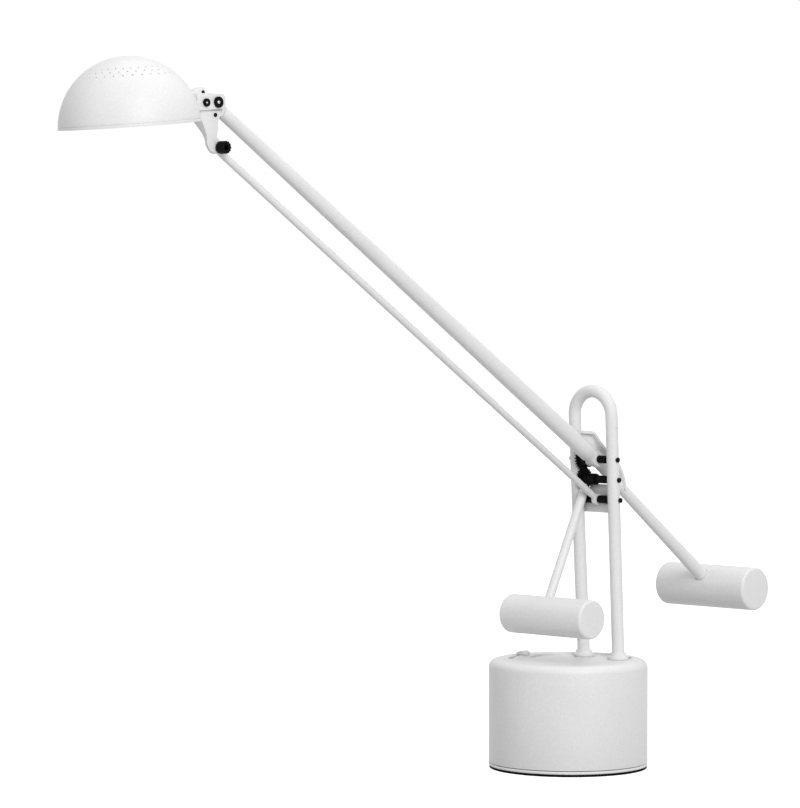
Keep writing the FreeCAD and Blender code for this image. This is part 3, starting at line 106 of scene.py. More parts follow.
class LampSizes(bpy.types.PropertyGroup):
    """Sizes of the details that are added round the CAD frame."""

    flutes: IntProperty(
        name="Knob flutes", description="Grooves round the knob at the head",
        default=12, min=6, max=60)
    flute_depth: FloatProperty(
        name="Flute depth", description="Depth of the knob's grooves",
        default=0.45 * MM, min=0, max=1 * MM, unit="LENGTH")
    knob_length: FloatProperty(
        name="Knob length", description="Length of the knob's grip",
        default=7.4 * MM, min=2 * MM, max=20 * MM, unit="LENGTH")
    knob_shoulder: FloatProperty(
        name="Knob shoulder", description="Length over which the knob narrows to its pin",
        default=1.2 * MM, min=0, max=6 * MM, unit="LENGTH")
    mast_radius: FloatProperty(
        name="Mast radius", description="Outside radius of the mast's tube",
        default=4.75 * MM, min=2 * MM, max=10 * MM, unit="LENGTH")
    joint_height: FloatProperty(
        name="Joint height", description="The joint line of the near leg above the arm's pin",
        default=24 * MM, min=0, max=30 * MM, unit="LENGTH")
    joint_depth: FloatProperty(
        name="Joint depth", description="Depth of the joint line of the near leg",
        default=0.35 * MM, min=0, max=1 * MM, unit="LENGTH")
    collar_full: FloatProperty(
        name="Collar height in CAD", description="Full height of a foot collar above the drum",
        default=7.0 * MM, min=2 * MM, max=30 * MM, unit="LENGTH")
    collar_flange: FloatProperty(
        name="Collar flange", description="Height of a foot collar's flange",
        default=2.4 * MM, min=0.5 * MM, max=10 * MM, unit="LENGTH")
    collar_neck: FloatProperty(
        name="Collar neck", description="Radius of a foot collar above its flange",
        default=6.1 * MM, min=5 * MM, max=8 * MM, unit="LENGTH")
    collar_rise: FloatProperty(
        name="Collar rise", description="Height of a foot collar's neck",
        default=2.4 * MM, min=0, max=4 * MM, unit="LENGTH")
    lever_eye: FloatProperty(
        name="Black eye", description="How far from its pin the lever's eye is black",
        default=6.6 * MM, min=0, max=20 * MM, unit="LENGTH")
    shade_radius: FloatProperty(
        name="Shade radius", description="Outside of the dome",
        default=48 * MM, min=20 * MM, max=100 * MM, unit="LENGTH")
    shade_wall: FloatProperty(
        name="Shade wall", description="Thickness of the dome",
        default=1.2 * MM, min=0.4 * MM, max=4 * MM, unit="LENGTH")
    shade_reach: FloatProperty(
        name="Shade reach", description="The shade's pivot to the dome's centre, towards -X",
        default=62.8 * MM, min=0, max=200 * MM, unit="LENGTH")
    shade_drop: FloatProperty(
        name="Shade drop", description="The shade's pivot to the dome's centre, down",
        default=19.0 * MM, min=0, max=100 * MM, unit="LENGTH")
    shade_tilt: FloatProperty(
        name="Shade tilt", description="How far the mouth leans towards the base at rest",
        default=math.radians(5.4), min=0, max=math.radians(45), subtype="ANGLE")
    rim_lift: FloatProperty(
        name="Rim lift", description="The mouth above the dome's centre",
        default=1.6 * MM, min=0, max=20 * MM, unit="LENGTH")
    rim_height: FloatProperty(
        name="Rim height", description="Height of the rolled rim with its groove",
        default=2.2 * MM, min=1 * MM, max=6 * MM, unit="LENGTH")
    vents: IntProperty(
        name="Vents", description="Vent holes in each row",
        default=32, min=6, max=60)
    vent_radius: FloatProperty(
        name="Vent radius", description="Radius of a vent hole",
        default=0.6 * MM, min=0.3 * MM, max=3 * MM, unit="LENGTH")
    vent_row: FloatProperty(
        name="Vent row", description="The upper row of vents, from the dome's top",
        default=math.radians(33.5), min=0, max=math.radians(80), subtype="ANGLE")
    vent_spread: FloatProperty(
        name="Row spacing", description="From one row of vents to the next",
        default=math.radians(4.6), min=0, max=math.radians(30), subtype="ANGLE")
    vent_rows: IntProperty(
        name="Vent rows", description="Rows of vents, each turned half a step from the last",
        default=3, min=1, max=5)


# ---------------------------------------------------------------- shader maths


class Maths:
    """A shader socket that takes part in Python expressions."""

    def __init__(self, material, socket):
        self.material = material
        self.socket = socket

    def node(self, kind, settings=(), inputs=(), output=0):
        """Adds a node with its settings, then the values or links of its sockets."""
        made = self.material.node_tree.nodes.new(kind)
        for name, value in dict(settings).items():
            setattr(made, name, value)
        for name, value in dict(inputs).items():
            if isinstance(value, Maths):
                self.material.node_tree.links.new(value.socket, made.inputs[name])
            else:
                made.inputs[name].default_value = value
        return Maths(self.material, made.outputs[output])

    def maths(self, operation, first, second):
        return self.node("ShaderNodeMath", {"operation": operation}, {0: first, 1: second})

    def __add__(self, other):
        return self.maths("ADD", self, other)

    def __radd__(self, other):
        return self.maths("ADD", other, self)

    def __mul__(self, other):
        return self.maths("MULTIPLY", self, other)

    def __rmul__(self, other):
        return self.maths("MULTIPLY", other, self)

    def step(self, low, high):
        """0 below low and 1 above high, with a smooth rise between."""
        settings = {"interpolation_type": "SMOOTHSTEP"}
        return self.node("ShaderNodeMapRange", settings,
                         {"Value": self, "From Min": low, "From Max": high})

    def mix(self, first, second):
        """The colour first where this is 0, and second where it is 1."""
        inputs = {"Factor": self, 6: first, 7: second}
        return self.node("ShaderNodeMix", {"data_type": "RGBA"}, inputs, 2)


class Finish:
    """A material being built: its places, noises and its surface shader."""

    def __init__(self, name):
        self.material = bpy.data.materials.new(name)
        self.material.use_nodes = True
        self.shader = self.material.node_tree.nodes["Principled BSDF"]
        self.tool = Maths(self.material, None)
        self.place = self.tool.node("ShaderNodeTexCoord", output="Object")

    def noise(self, scale, detail=2.0, roughness=0.5):
        inputs = {"Vector": self.place, "Scale": scale, "Detail": detail, "Roughness": roughness}
        return self.tool.node("ShaderNodeTexNoise", {}, inputs)

    def bump(self, height, distance, strength=1.0):
        inputs = {"Height": height, "Distance": distance, "Strength": strength}
        return self.tool.node("ShaderNodeBump", {}, inputs)

    def surface(self, **values):
        """Sets or links the shader's sockets, with _ for the spaces of their names."""
        for name, value in values.items():
            socket = self.shader.inputs[name.replace("_", " ")]
            if isinstance(value, Maths):
                self.material.node_tree.links.new(value.socket, socket)
            else:
                socket.default_value = value
        return self.material


def opaque(colour):
    return (*colour, 1.0)


def scaled(colour, factor):
    return opaque([min(1.0, part * factor) for part in colour])


# ---------------------------------------------------------------- finishes


def lacquer(colour):
    """Stoved lacquer: a faint orange peel, with a little dust dulling its gloss."""
    finish = Finish("lacquer")
    peel = finish.noise(700.0, 3.0)
    grain = finish.noise(3200.0, 2.0)
    cloud = finish.noise(22.0, 4.0)
    mottle = peel * 0.6 + cloud * 0.4
    tone = mottle.step(0.3, 0.7).mix(scaled(colour, 0.94), scaled(colour, 1.03))
    return finish.surface(
        Base_Color=tone,
        Roughness=0.48 + cloud * 0.1,
        Normal=finish.bump(peel * 0.7 + grain * 0.3, 0.00005, 0.4),
        Coat_Weight=0.12,
        Coat_Roughness=0.35,
    )


def moulded(name, colour, gloss, specular):
    """Moulded plastic: fine spark texture with gloss that varies a little."""
    finish = Finish(name)
    grain = finish.noise(3000.0, 3.0)
    cloud = finish.noise(60.0, 3.0)
    tone = cloud.step(0.35, 0.7).mix(opaque(colour), scaled(colour, 1.35))
    return finish.surface(
        Base_Color=tone,
        Roughness=gloss + cloud * 0.12,
        Specular_IOR_Level=specular,
        Normal=finish.bump(grain, 0.00005, 0.4),
    )


def rubber(colour):
    finish = Finish("foot_rubber")
    grain = finish.noise(1500.0, 5.0, 0.7)
    tone = grain.step(0.35, 0.7).mix(opaque(colour), scaled(colour, 1.6))
    return finish.surface(Base_Color=tone, Roughness=0.75 + grain * 0.15, Specular_IOR_Level=0.04,
                          Normal=finish.bump(grain, 0.0002, 0.6))


def plated(name, colour, roughness, brushed):
    """Metal with brushing across one axis and faint stains."""
    finish = Finish(name)
    stretch = finish.tool.node("ShaderNodeMapping", {}, {"Vector": finish.place, "Scale": brushed})
    lines = finish.tool.node("ShaderNodeTexNoise", {},
                             {"Vector": stretch, "Scale": 1.0, "Detail": 4.0})
    stain = finish.noise(80.0, 4.0)
    tone = stain.step(0.4, 0.8).mix(opaque(colour), scaled(colour, 0.8))
    return finish.surface(
        Base_Color=tone,
        Metallic=1.0,
        Roughness=roughness + lines * 0.14 + stain * 0.05,
        Normal=finish.bump(lines, 0.00003, 0.35),
    )


def laminations():
    """Stacked steel sheets with varnish between them."""
    finish = Finish("laminations")
    sheets = finish.tool.node("ShaderNodeTexWave", {"wave_type": "BANDS", "bands_direction": "Y"},
                              {"Vector": finish.place, "Scale": 320.0, "Distortion": 0.4}, 1)
    rust = finish.noise(140.0, 5.0)
    tone = sheets.mix((0.05, 0.05, 0.055, 1), (0.2, 0.2, 0.21, 1))
    return finish.surface(
        Base_Color=rust.step(0.62, 0.8).mix(tone, (0.16, 0.07, 0.03, 1)),
        Metallic=0.6,
        Roughness=0.45 + rust * 0.2,
        Normal=finish.bump(sheets, 0.0001, 0.6),
    )


def winding(colour):
    """Layers of enamelled wire, one wire beside the other, with painted shade darkening the grooves between the
    wires.
    """
    finish = Finish("winding")
    wires_and_groove_shade = finish.tool.node("ShaderNodeTexWave", {"wave_type": "BANDS", "bands_direction": "Z"},
                             {"Vector": finish.place, "Scale": 260.0, "Distortion": 0.6}, 1)
    # painted shade: the copper colour falls to a third between the wires, where the grooves lie in shade
    tone = wires_and_groove_shade.mix(scaled(colour, 0.3), opaque(colour))
    return finish.surface(Base_Color=tone, Metallic=0.7, Roughness=0.3 + wires_and_groove_shade * 0.1,
                          Normal=finish.bump(wires_and_groove_shade, 0.0003, 0.9))


def hammered():
    """Satin reflector, dimpled so that it spreads the light."""
    finish = Finish("reflector_satin")
    dimples = finish.tool.node("ShaderNodeTexVoronoi", {}, {"Vector": finish.place, "Scale": 420.0})
    haze = finish.noise(120.0, 4.0)
    return finish.surface(
        Base_Color=haze.mix((0.86, 0.86, 0.87, 1), (0.78, 0.78, 0.8, 1)),
        Metallic=1.0,
        Roughness=0.18 + haze * 0.12,
        Normal=finish.bump(dimples, 0.0003, 0.5),
    )


def glazed():
    finish = Finish("lampholder_ceramic")
    specks = finish.noise(900.0, 6.0, 0.8)
    return finish.surface(
        Base_Color=specks.step(0.6, 0.72).mix((0.8, 0.78, 0.72, 1), (0.66, 0.6, 0.5, 1)),
        Roughness=0.22 + specks * 0.1,
        Normal=finish.bump(specks, 0.00005, 0.3),
    )


def quartz():
    """Clear capsule with a faint haze where it was pinched."""
    finish = Finish("quartz")
    haze = finish.noise(300.0, 3.0)
    return finish.surface(
        Base_Color=(0.97, 0.98, 1.0, 1),
        Transmission_Weight=0.92,
        IOR=1.46,
        Roughness=0.02 + haze * 0.08,
    )


def finishes(colours):
    """One material for each of the record's slots."""
    black = tuple(colours.black)
    return {
        "paint": lacquer(tuple(colours.paint)),
        "black_plastic": moulded("black_moulding", black, 0.46, 0.06),
        "black_steel": moulded("blackened_steel", black, 0.38, 0.08),
        "black_rubber": rubber(tuple(colours.rubber)),
        "white_plastic": moulded("white_moulding", (0.74, 0.74, 0.73), 0.4, 0.5),
        "steel": plated("zinc_plate", (0.56, 0.56, 0.57), 0.26, (40.0, 40.0, 2500.0)),
        "aluminium": plated("turned_aluminium", (0.72, 0.72, 0.73), 0.24, (40.0, 40.0, 3500.0)),
        "core": laminations(),
        "winding": winding(tuple(colours.copper)),
        "reflector": hammered(),
        "ceramic": glazed(),
        "bulb_glass": quartz(),
    }


MATERIALS = {}


def dress(piece, slot):
    """Gives a piece the one material of a slot."""
    piece.data.materials.clear()
    piece.data.materials.append(MATERIALS[slot])


# ---------------------------------------------------------------- modelling helpers

# angles between faces, in degrees
DISSOLVE_BELOW = 0.3
SMOOTH_BELOW = 32.0
SMOOTH_TURNED = 40.0
BEVEL_ABOVE = 38.0
# metres: merging a CAD node's corners, merging the dome's, and how true a ring is to its height
MERGE_NODE = 2e-6
MERGE_DOME = 1e-6
RING_TOLERANCE = 1e-5
# a face whose normal has more than this along an axis faces that way
FACING = 0.9


def deselect_all():
    if bpy.context.object and bpy.context.object.mode != "OBJECT":
        bpy.ops.object.mode_set(mode="OBJECT")
    bpy.ops.object.select_all(action="DESELECT")


def active_only(piece):
    deselect_all()
    piece.hide_viewport = False
    piece.select_set(True)
    bpy.context.view_layer.objects.active = piece
    return piece


def modify(piece, kind, **settings):
    """Adds a modifier and applies it."""
    active_only(piece)
    modifier = piece.modifiers.new(kind.lower(), kind)
    for name, value in settings.items():
        setattr(modifier, name, value)
    bpy.ops.object.modifier_apply(modifier=modifier.name)


def bevel(piece, width, segments=2, above=BEVEL_ABOVE):
    """Rounds the edges whose faces meet at more than an angle in degrees."""
    modify(piece, "BEVEL", width=width, segments=segments, limit_method="ANGLE",
           angle_limit=math.radians(above), use_clamp_overlap=True)


def cross_bar(vertices, radius, depth, middle):
    """A closed cylinder or prism that lies along Y."""
    deselect_all()
    bpy.ops.mesh.primitive_cylinder_add(
        vertices=vertices, radius=radius, depth=depth,
        location=middle, rotation=(math.pi / 2, 0, 0))
    piece = active_only(bpy.context.object)
    bpy.ops.object.transform_apply(location=True, rotation=True, scale=True)
    return piece


def select_faces(piece, wanted):
    """In edit mode, selects the faces whose middle and normal pass a test."""
    mesh = bmesh.from_edit_mesh(piece.data)
    bpy.ops.mesh.select_mode(type="FACE")
    for face in mesh.faces:
        face.select_set(bool(wanted(face.calc_center_median(), face.normal)))
    bmesh.update_edit_mesh(piece.data)


def merged_copy(node, name):
    """A copy of a CAD node as one joined mesh, with its flat faces whole."""
    source = NODES[node]
    piece = bpy.data.objects.new(name, source.data.copy())
    bpy.context.scene.collection.objects.link(piece)
    active_only(piece)
    bpy.ops.object.mode_set(mode="EDIT")
    bpy.ops.mesh.select_all(action="SELECT")
    bpy.ops.mesh.remove_doubles(threshold=MERGE_NODE)
    bpy.ops.mesh.dissolve_limited(angle_limit=math.radians(DISSOLVE_BELOW))
    bpy.ops.object.mode_set(mode="OBJECT")
    return piece


def finish_piece(piece, name, body, slot, *nodes):
    """Names a piece, dresses it and lets it ride in place of the CAD nodes."""
    active_only(piece)
    bpy.ops.object.transform_apply(location=True, rotation=True, scale=True)
    piece.name = name
    piece.data.name = name
    dress(piece, slot)
    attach(piece, body)
    if nodes:
        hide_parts(*nodes)
    return piece


def smooth(piece, angle=SMOOTH_BELOW):
    active_only(piece)
    bpy.ops.object.shade_smooth_by_angle(angle=math.radians(angle))


# ---------------------------------------------------------------- operators


def soften(node, width):
    """A machined or folded piece made from its CAD node, its edges rounded to a width in mm."""
    piece = merged_copy(node, node + "_piece")
    bevel(piece, width * MM)
    smooth(piece)
    return finish_piece(piece, piece.name, BODY_OF[node], SLOT_OF[node], node)


def soften_all(widths):
    return {node: soften(node, width) for node, width in widths.items()}


def recolour(piece, slot, wanted):
    """Gives the faces whose middle passes a test the finish of another slot."""
    piece.data.materials.append(MATERIALS[slot])
    index = len(piece.data.materials) - 1
    for face in piece.data.polygons:
        if wanted(face.center):
            face.material_index = index


class LAMP_OT_finishes(bpy.types.Operator):
    """Make the materials and dress every CAD node in the one of its slot"""

    bl_idname = "lamp.finishes"
    bl_label = "Finishes"

    def execute(self, context):
        MATERIALS.update(finishes(context.scene.lamp_colours))
        for name, node in NODES.items():
            dress(node, SLOT_OF[name])
        return {"FINISHED"}


class LAMP_OT_foot(bpy.types.Operator):
    """Foot pad and base plate under the turning drum"""

    bl_idname = "lamp.foot"
    bl_label = "Foot"

    def execute(self, context):
        soften_all({"foot_pad": 0.3, "base_plate": 0.2})
        return {"FINISHED"}


class LAMP_OT_drum(bpy.types.Operator):
    """Drum with its dish, switch tab and cord inlet"""

    bl_idname = "lamp.drum"
    bl_label = "Drum"

    def execute(self, context):
        soften_all({"base_shell": 0.35, "switch_tab": 0.5, "cord_inlet": 0.3})
        return {"FINISHED"}


class LAMP_OT_works(bpy.types.Operator):
    """Transformer and terminals inside the drum"""

    bl_idname = "lamp.works"
    bl_label = "Works"

    def execute(self, context):
        soften_all({"transformer_core": 0.3, "transformer_winding": 0.8, "transformer_clamp": 0.2,
                    "terminal_block": 0.3})
        return {"FINISHED"}


def joint_line(loop, sizes):
    """Cuts the hairline round the near leg, where the bend meets the straight tube."""
    along = (pivot("arm_tilt") - pivot("lever_turn")).normalized()
    place = pivot("arm_tilt") + along * sizes.joint_height
    place.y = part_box("mast_loop")[0].y + sizes.mast_radius
    deselect_all()
    bpy.ops.mesh.primitive_torus_add(
        major_radius=sizes.mast_radius, minor_radius=sizes.joint_depth, major_segments=64,
        minor_segments=8, location=place, rotation=along.to_track_quat("Z", "Y").to_euler())
    ring = bpy.context.object
    modify(loop, "BOOLEAN", operation="DIFFERENCE", solver="EXACT", object=ring)
    bpy.data.objects.remove(ring)
    smooth(loop)


class LAMP_OT_mast(bpy.types.Operator):
    """Hairpin mast with its joint line, cross plate, pins and black spacers"""

    bl_idname = "lamp.mast"
    bl_label = "Mast"

    def execute(self, context):
        pieces = soften_all({"mast_loop": 0.1, "cross_plate": 0.3,
                             "top_spacer": 0.25, "middle_spacer": 0.25, "bottom_spacers": 0.25})
        joint_line(pieces["mast_loop"], context.scene.lamp_sizes)
        pins = soften_all({"top_pin": 0.35, "middle_pin": 0.35, "bottom_pin": 0.35})
        # the pins are riveted over at the far leg and lacquered there with it
        for node, pin in pins.items():
            far = centre(node).y + 0.5 * (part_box(node)[1].y - centre(node).y)
            recolour(pin, "paint", lambda place: place.y > far)
        return {"FINISHED"}


COLLAR_BEVEL = 0.6 * MM


class LAMP_OT_collars(bpy.types.Operator):
    """Two low stepped collars where the mast's legs stand on the drum"""

    bl_idname = "lamp.collars"
    bl_label = "Collars"

    def execute(self, context):
        sizes = context.scene.lamp_sizes
        low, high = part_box("foot_collars")
        radius = (high.x - low.x) / 2
        spread = (high.y - low.y) / 2 - radius
        flange = sizes.collar_flange + (high.z - low.z) - sizes.collar_full
        deselect_all()
        bpy.ops.mesh.primitive_cylinder_add(
            vertices=96, radius=radius, depth=flange,
            location=(low.x + radius, centre("foot_collars").y - spread, low.z + flange / 2))
        near = active_only(bpy.context.object)
        bpy.ops.object.transform_apply(location=True, rotation=False, scale=False)
        bpy.ops.object.mode_set(mode="EDIT")
        select_faces(near, lambda middle, normal: normal.z > FACING)
        bpy.ops.mesh.inset(thickness=radius - sizes.collar_neck, depth=0)
        bpy.ops.mesh.extrude_region_move(
            TRANSFORM_OT_translate={"value": (0, 0, sizes.collar_rise)})
        bpy.ops.object.mode_set(mode="OBJECT")
        bevel(near, COLLAR_BEVEL, segments=3, above=60)
        active_only(near)
        bpy.ops.object.mode_set(mode="EDIT")
        bpy.ops.mesh.select_all(action="SELECT")
        bpy.ops.mesh.duplicate_move(TRANSFORM_OT_translate={"value": (0, 2 * spread, 0)})
        bpy.ops.object.mode_set(mode="OBJECT")
        smooth(near, SMOOTH_TURNED)
        finish_piece(near, "stepped_collars", BODY_OF["foot_collars"],
                     SLOT_OF["foot_collars"], "foot_collars")
        return {"FINISHED"}


class LAMP_OT_arm(bpy.types.Operator):
    """Main arm, its root and saddle, the rear arm and the rear weight"""

    bl_idname = "lamp.arm"
    bl_label = "Arm"

    def execute(self, context):
        soften_all({"main_arm": 0.4, "arm_root": 0.5, "arm_saddle": 0.4, "arm_gear": 0.12,
                    "rear_arm": 0.3, "rear_weight": 0.3, "arm_tongue": 0.3})
        return {"FINISHED"}


class LAMP_OT_lever(bpy.types.Operator):
    """Lever of the front weight, with its gear and hub"""

    bl_idname = "lamp.lever"
    bl_label = "Lever"

    def execute(self, context):
        pieces = soften_all({"lever_tube": 0.3, "lever_hub": 0.3, "lever_gear": 0.12,
                             "front_weight": 0.3})
        # the eye at the lever's top is black like the hub beside it
        pin = pivot("lever_turn")
        eye = context.scene.lamp_sizes.lever_eye
        recolour(pieces["lever_tube"], "black_plastic",
                 lambda place: math.hypot(place.x - pin.x, place.z - pin.z) < eye)
        return {"FINISHED"}


class LAMP_OT_tie_rod(bpy.types.Operator):
    """Tie rod with its two eyes, which keeps the head level"""

    bl_idname = "lamp.tie_rod"
    bl_label = "Tie rod"

    def execute(self, context):
        soften_all({"tie_rod": 0.3, "rod_lower_eye": 0.4, "rod_upper_eye": 0.4})
        return {"FINISHED"}


# the bright ends: their radii and length, then the share of the length from the screw's face to
# their middle, and the share of the radius that is rounded
ARM_END_RADIUS = 1.35 * MM
SHADE_END_RADIUS = 0.8 * MM
END_LENGTH = 1.2 * MM
END_SINK = 0.75
END_ROUNDING = 0.35


def pivot_end(name, node, radius):
    """A bright pin end at the bottom of a pivot screw's socket."""
    low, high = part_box(node)
    x, z = (low.x + high.x) / 2, (low.z + high.z) / 2
    piece = cross_bar(24, radius, END_LENGTH, (x, low.y + END_SINK * END_LENGTH, z))
    bevel(piece, radius * END_ROUNDING, segments=3)
    smooth(piece)
    finish_piece(piece, name, BODY_OF[node], "steel")


class LAMP_OT_head(bpy.types.Operator):
    """Head bracket with its pivot screws and rivet"""

    bl_idname = "lamp.head"
    bl_label = "Head"

    def execute(self, context):
        soften_all({"head_bracket": 0.4, "arm_pivot_screw": 0.35, "shade_pivot_screw": 0.3,
                    "bracket_rivet": 0.4})
        pivot_end("arm_pivot_end", "arm_pivot_screw", ARM_END_RADIUS)
        pivot_end("shade_pivot_end", "shade_pivot_screw", SHADE_END_RADIUS)
        return {"FINISHED"}


# shares of a flute's pitch and of the knob's radius
GROOVE_SHARE = 0.2
SHOULDER_SHARE = 0.24
DISH_RIM_SHARE = 0.3
DISH_WALL_SHARE = 0.08
DISH_DEPTH = 0.3 * MM
KNOB_BEVEL = 1.0 * MM
SHANK_RADIUS = 2.0 * MM
NUT_RADIUS = 3.4 * MM
NUT_HEIGHT = 1.8 * MM
NUT_BEVEL = 0.35 * MM


class LAMP_OT_knob(bpy.types.Operator):
    """Fluted knob on the tie rod's upper pin, with the pin and its nut"""

    bl_idname = "lamp.knob"
    bl_label = "Knob"

    def execute(self, context):
        sizes = context.scene.lamp_sizes
        low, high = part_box("rod_knob")
        x, z = centre("rod_knob").x, centre("rod_knob").z
        radius = (high.x - low.x) / 2
        grip_end = low.y + sizes.knob_length
        barrel = sizes.knob_length - sizes.knob_shoulder
        axis = Vector((x, 0, z))

        grip = cross_bar(sizes.flutes * 4, radius, barrel, (x, low.y + barrel / 2, z))
        bpy.ops.object.mode_set(mode="EDIT")
        mesh = bmesh.from_edit_mesh(grip.data)
        bpy.ops.mesh.select_mode(type="VERT")
        pitch = TURN / sizes.flutes
        for vertex in mesh.verts:
            turn = math.atan2(vertex.co.z - z, vertex.co.x - x) % pitch
            vertex.select_set(abs(turn - pitch / 2) < pitch * GROOVE_SHARE)
        bmesh.update_edit_mesh(grip.data)
        shrink = 1 - sizes.flute_depth / radius
        bpy.ops.transform.resize(value=(shrink, 1, shrink), center_override=axis)
        # a shoulder that narrows towards the bracket
        select_faces(grip, lambda middle, normal: normal.y > FACING)
        bpy.ops.mesh.inset(thickness=radius * SHOULDER_SHARE, depth=0)
        bpy.ops.transform.translate(value=(0, sizes.knob_shoulder, 0))
        # a shallow dish in the near face
        select_faces(grip, lambda middle, normal: normal.y < -FACING)
        bpy.ops.mesh.inset(thickness=radius * DISH_RIM_SHARE, depth=0)
        bpy.ops.mesh.inset(thickness=radius * DISH_WALL_SHARE, depth=-DISH_DEPTH)
        bpy.ops.object.mode_set(mode="OBJECT")
        bevel(grip, KNOB_BEVEL, segments=4, above=35)

        shank = cross_bar(40, SHANK_RADIUS, high.y - grip_end, (x, (high.y + grip_end) / 2, z))
        nut = cross_bar(6, NUT_RADIUS, NUT_HEIGHT, (x, high.y - NUT_HEIGHT / 2, z))
        bevel(nut, NUT_BEVEL, above=50)

        deselect_all()
        for part in (nut, shank, grip):
            part.select_set(True)
        bpy.context.view_layer.objects.active = grip
        bpy.ops.object.join()
        smooth(grip, SMOOTH_TURNED)
        finish_piece(grip, "fluted_knob", BODY_OF["rod_knob"], SLOT_OF["rod_knob"], "rod_knob")
        return {"FINISHED"}


# the rolled rim, outwards and down in mm: a groove, then a bead down to the mouth
RIM_STEPS = ((-0.35, -0.15), (0.0, -0.35), (0.5, -0.25), (0.0, -1.45))
VENT_BEVEL = 0.15 * MM
# the length of a vent's drill, in thicknesses of the dome
DRILL_WALLS = 5


class LAMP_OT_shade(bpy.types.Operator):
    """Spun dome with a rolled rim and rows of vents, and its lug"""

    bl_idname = "lamp.shade"
    bl_label = "Shade"

    def execute(self, context):
        sizes = context.scene.lamp_sizes
        radius = sizes.shade_radius
        rim = sizes.rim_lift

        deselect_all()
        bpy.ops.mesh.primitive_uv_sphere_add(segments=144, ring_count=96, radius=radius)
        dome = active_only(bpy.context.object)
        bpy.ops.object.mode_set(mode="EDIT")
        bpy.ops.mesh.select_all(action="SELECT")
        neck = rim + sizes.rim_height
        bpy.ops.mesh.bisect(plane_co=(0, 0, neck), plane_no=(0, 0, 1), clear_inner=True)
        height = neck
        edge = math.sqrt(radius ** 2 - neck ** 2)
        for outwards, down in RIM_STEPS:
            select_ring(dome, height)
            bpy.ops.mesh.extrude_edges_move()
            bpy.ops.transform.translate(value=(0, 0, down * MM))
            grown = edge + outwards * MM
            bpy.ops.transform.resize(
                value=(grown / edge, grown / edge, 1), center_override=(0, 0, 0))
            edge = grown
            height += down * MM
        bpy.ops.mesh.select_all(action="SELECT")
        bpy.ops.mesh.remove_doubles(threshold=MERGE_DOME)
        bpy.ops.mesh.normals_make_consistent(inside=False)
        bpy.ops.object.mode_set(mode="OBJECT")
        modify(dome, "SOLIDIFY", thickness=sizes.shade_wall, offset=-1)
        modify(dome, "BOOLEAN", operation="DIFFERENCE", solver="EXACT", object=vent_drills(sizes))
        bpy.data.objects.remove(bpy.data.objects["vent_drills"])
        bevel(dome, VENT_BEVEL, above=50)
        smooth(dome)
        dome.location = pivot("shade_tilt") - Vector((sizes.shade_reach, 0, sizes.shade_drop))
        dome.rotation_euler = (0, -sizes.shade_tilt, 0)
        finish_piece(dome, "spun_shade", BODY_OF["shade"], SLOT_OF["shade"], "shade")
        soften_all({"shade_lug": 0.4, "stop_pin": 0.3})
        return {"FINISHED"}


def select_ring(piece, height):
    """In edit mode, selects the open edges at a height."""
    mesh = bmesh.from_edit_mesh(piece.data)
    bpy.ops.mesh.select_all(action="DESELECT")
    bpy.ops.mesh.select_mode(type="EDGE")
    for edge in mesh.edges:
        if edge.is_boundary and all(abs(end.co.z - height) < RING_TOLERANCE for end in edge.verts):
            edge.select_set(True)
    bmesh.update_edit_mesh(piece.data)


def vent_drills(sizes):
    """All the drills of the staggered rows of vents, as one cutter."""
    deselect_all()
    depth = sizes.shade_wall * DRILL_WALLS
    bpy.ops.mesh.primitive_cylinder_add(vertices=16, radius=sizes.vent_radius, depth=depth)
    first = bpy.context.object
    drills = [first]
    for row in range(sizes.vent_rows):
        lean = sizes.vent_row + row * sizes.vent_spread
        for index in range(sizes.vents):
            turn = TURN * (index + 0.5 * row) / sizes.vents
            drill = first.copy()
            drill.data = first.data.copy()
            bpy.context.scene.collection.objects.link(drill)
            spin = Euler((0, lean, turn)).to_matrix()
            place = Matrix.Translation(spin @ Vector((0, 0, sizes.shade_radius)))
            drill.matrix_world = place @ spin.to_4x4()
            drills.append(drill)
    bpy.data.objects.remove(first)
    deselect_all()
    for drill in drills[1:]:
        drill.select_set(True)
    bpy.context.view_layer.objects.active = drills[1]
    bpy.ops.object.join()
    drills[1].name = "vent_drills"
    return drills[1]


class LAMP_OT_lamp(bpy.types.Operator):
    """Reflector, lampholder and capsule inside the shade"""

    bl_idname = "lamp.lamp"
    bl_label = "Lamp"

    def execute(self, context):
        soften_all({"reflector": 0.15, "lampholder": 0.3, "holder_bracket": 0.2, "bulb": 0.2})
        return {"FINISHED"}


# viewpoint: eye in metres, heading from +X and fall in degrees, and the lens for a 36 mm sensor
EYE = Vector((-2.0646, -1.85108, 0.36743))
HEADING = math.radians(44.504)
FALL = math.radians(1.923)
LENS = 163.88
SENSOR = 36.0
AIM = Vector((-0.1, 0, 0.22))
FLOOR_SIZE = 12.0
# the paper lies just under the pad, so that their faces don't share a plane
FLOOR_GAP = 0.1 * MM
CLIP_END = 50.0
# strength of the paper's own light, which only a direct look shows, and of the light all round
PAPER_GLOW = 0.9
STUDIO_LIGHT = 0.52
# place in metres, power in watts and width in metres of each soft box
SOFT_BOXES = (
    ("key", (-1.5, -3.1, 1.9), 84.0, 2.0),
    ("side", (-3.0, 0.4, 1.2), 7.0, 1.8),
    ("top", (0.5, 0.3, 3.6), 30.0, 2.0),
)


def seen_directly(tree):
    """A factor that is 1 where the camera, a reflection or clear glass shows a surface."""
    path = tree.nodes.new("ShaderNodeLightPath")
    total = path.outputs["Is Camera Ray"]
    for kind in ("Is Glossy Ray", "Is Transmission Ray"):
        either = tree.nodes.new("ShaderNodeMath")
        either.operation = "MAXIMUM"
        tree.links.new(total, either.inputs[0])
        tree.links.new(path.outputs[kind], either.inputs[1])
        total = either.outputs[0]
    return total


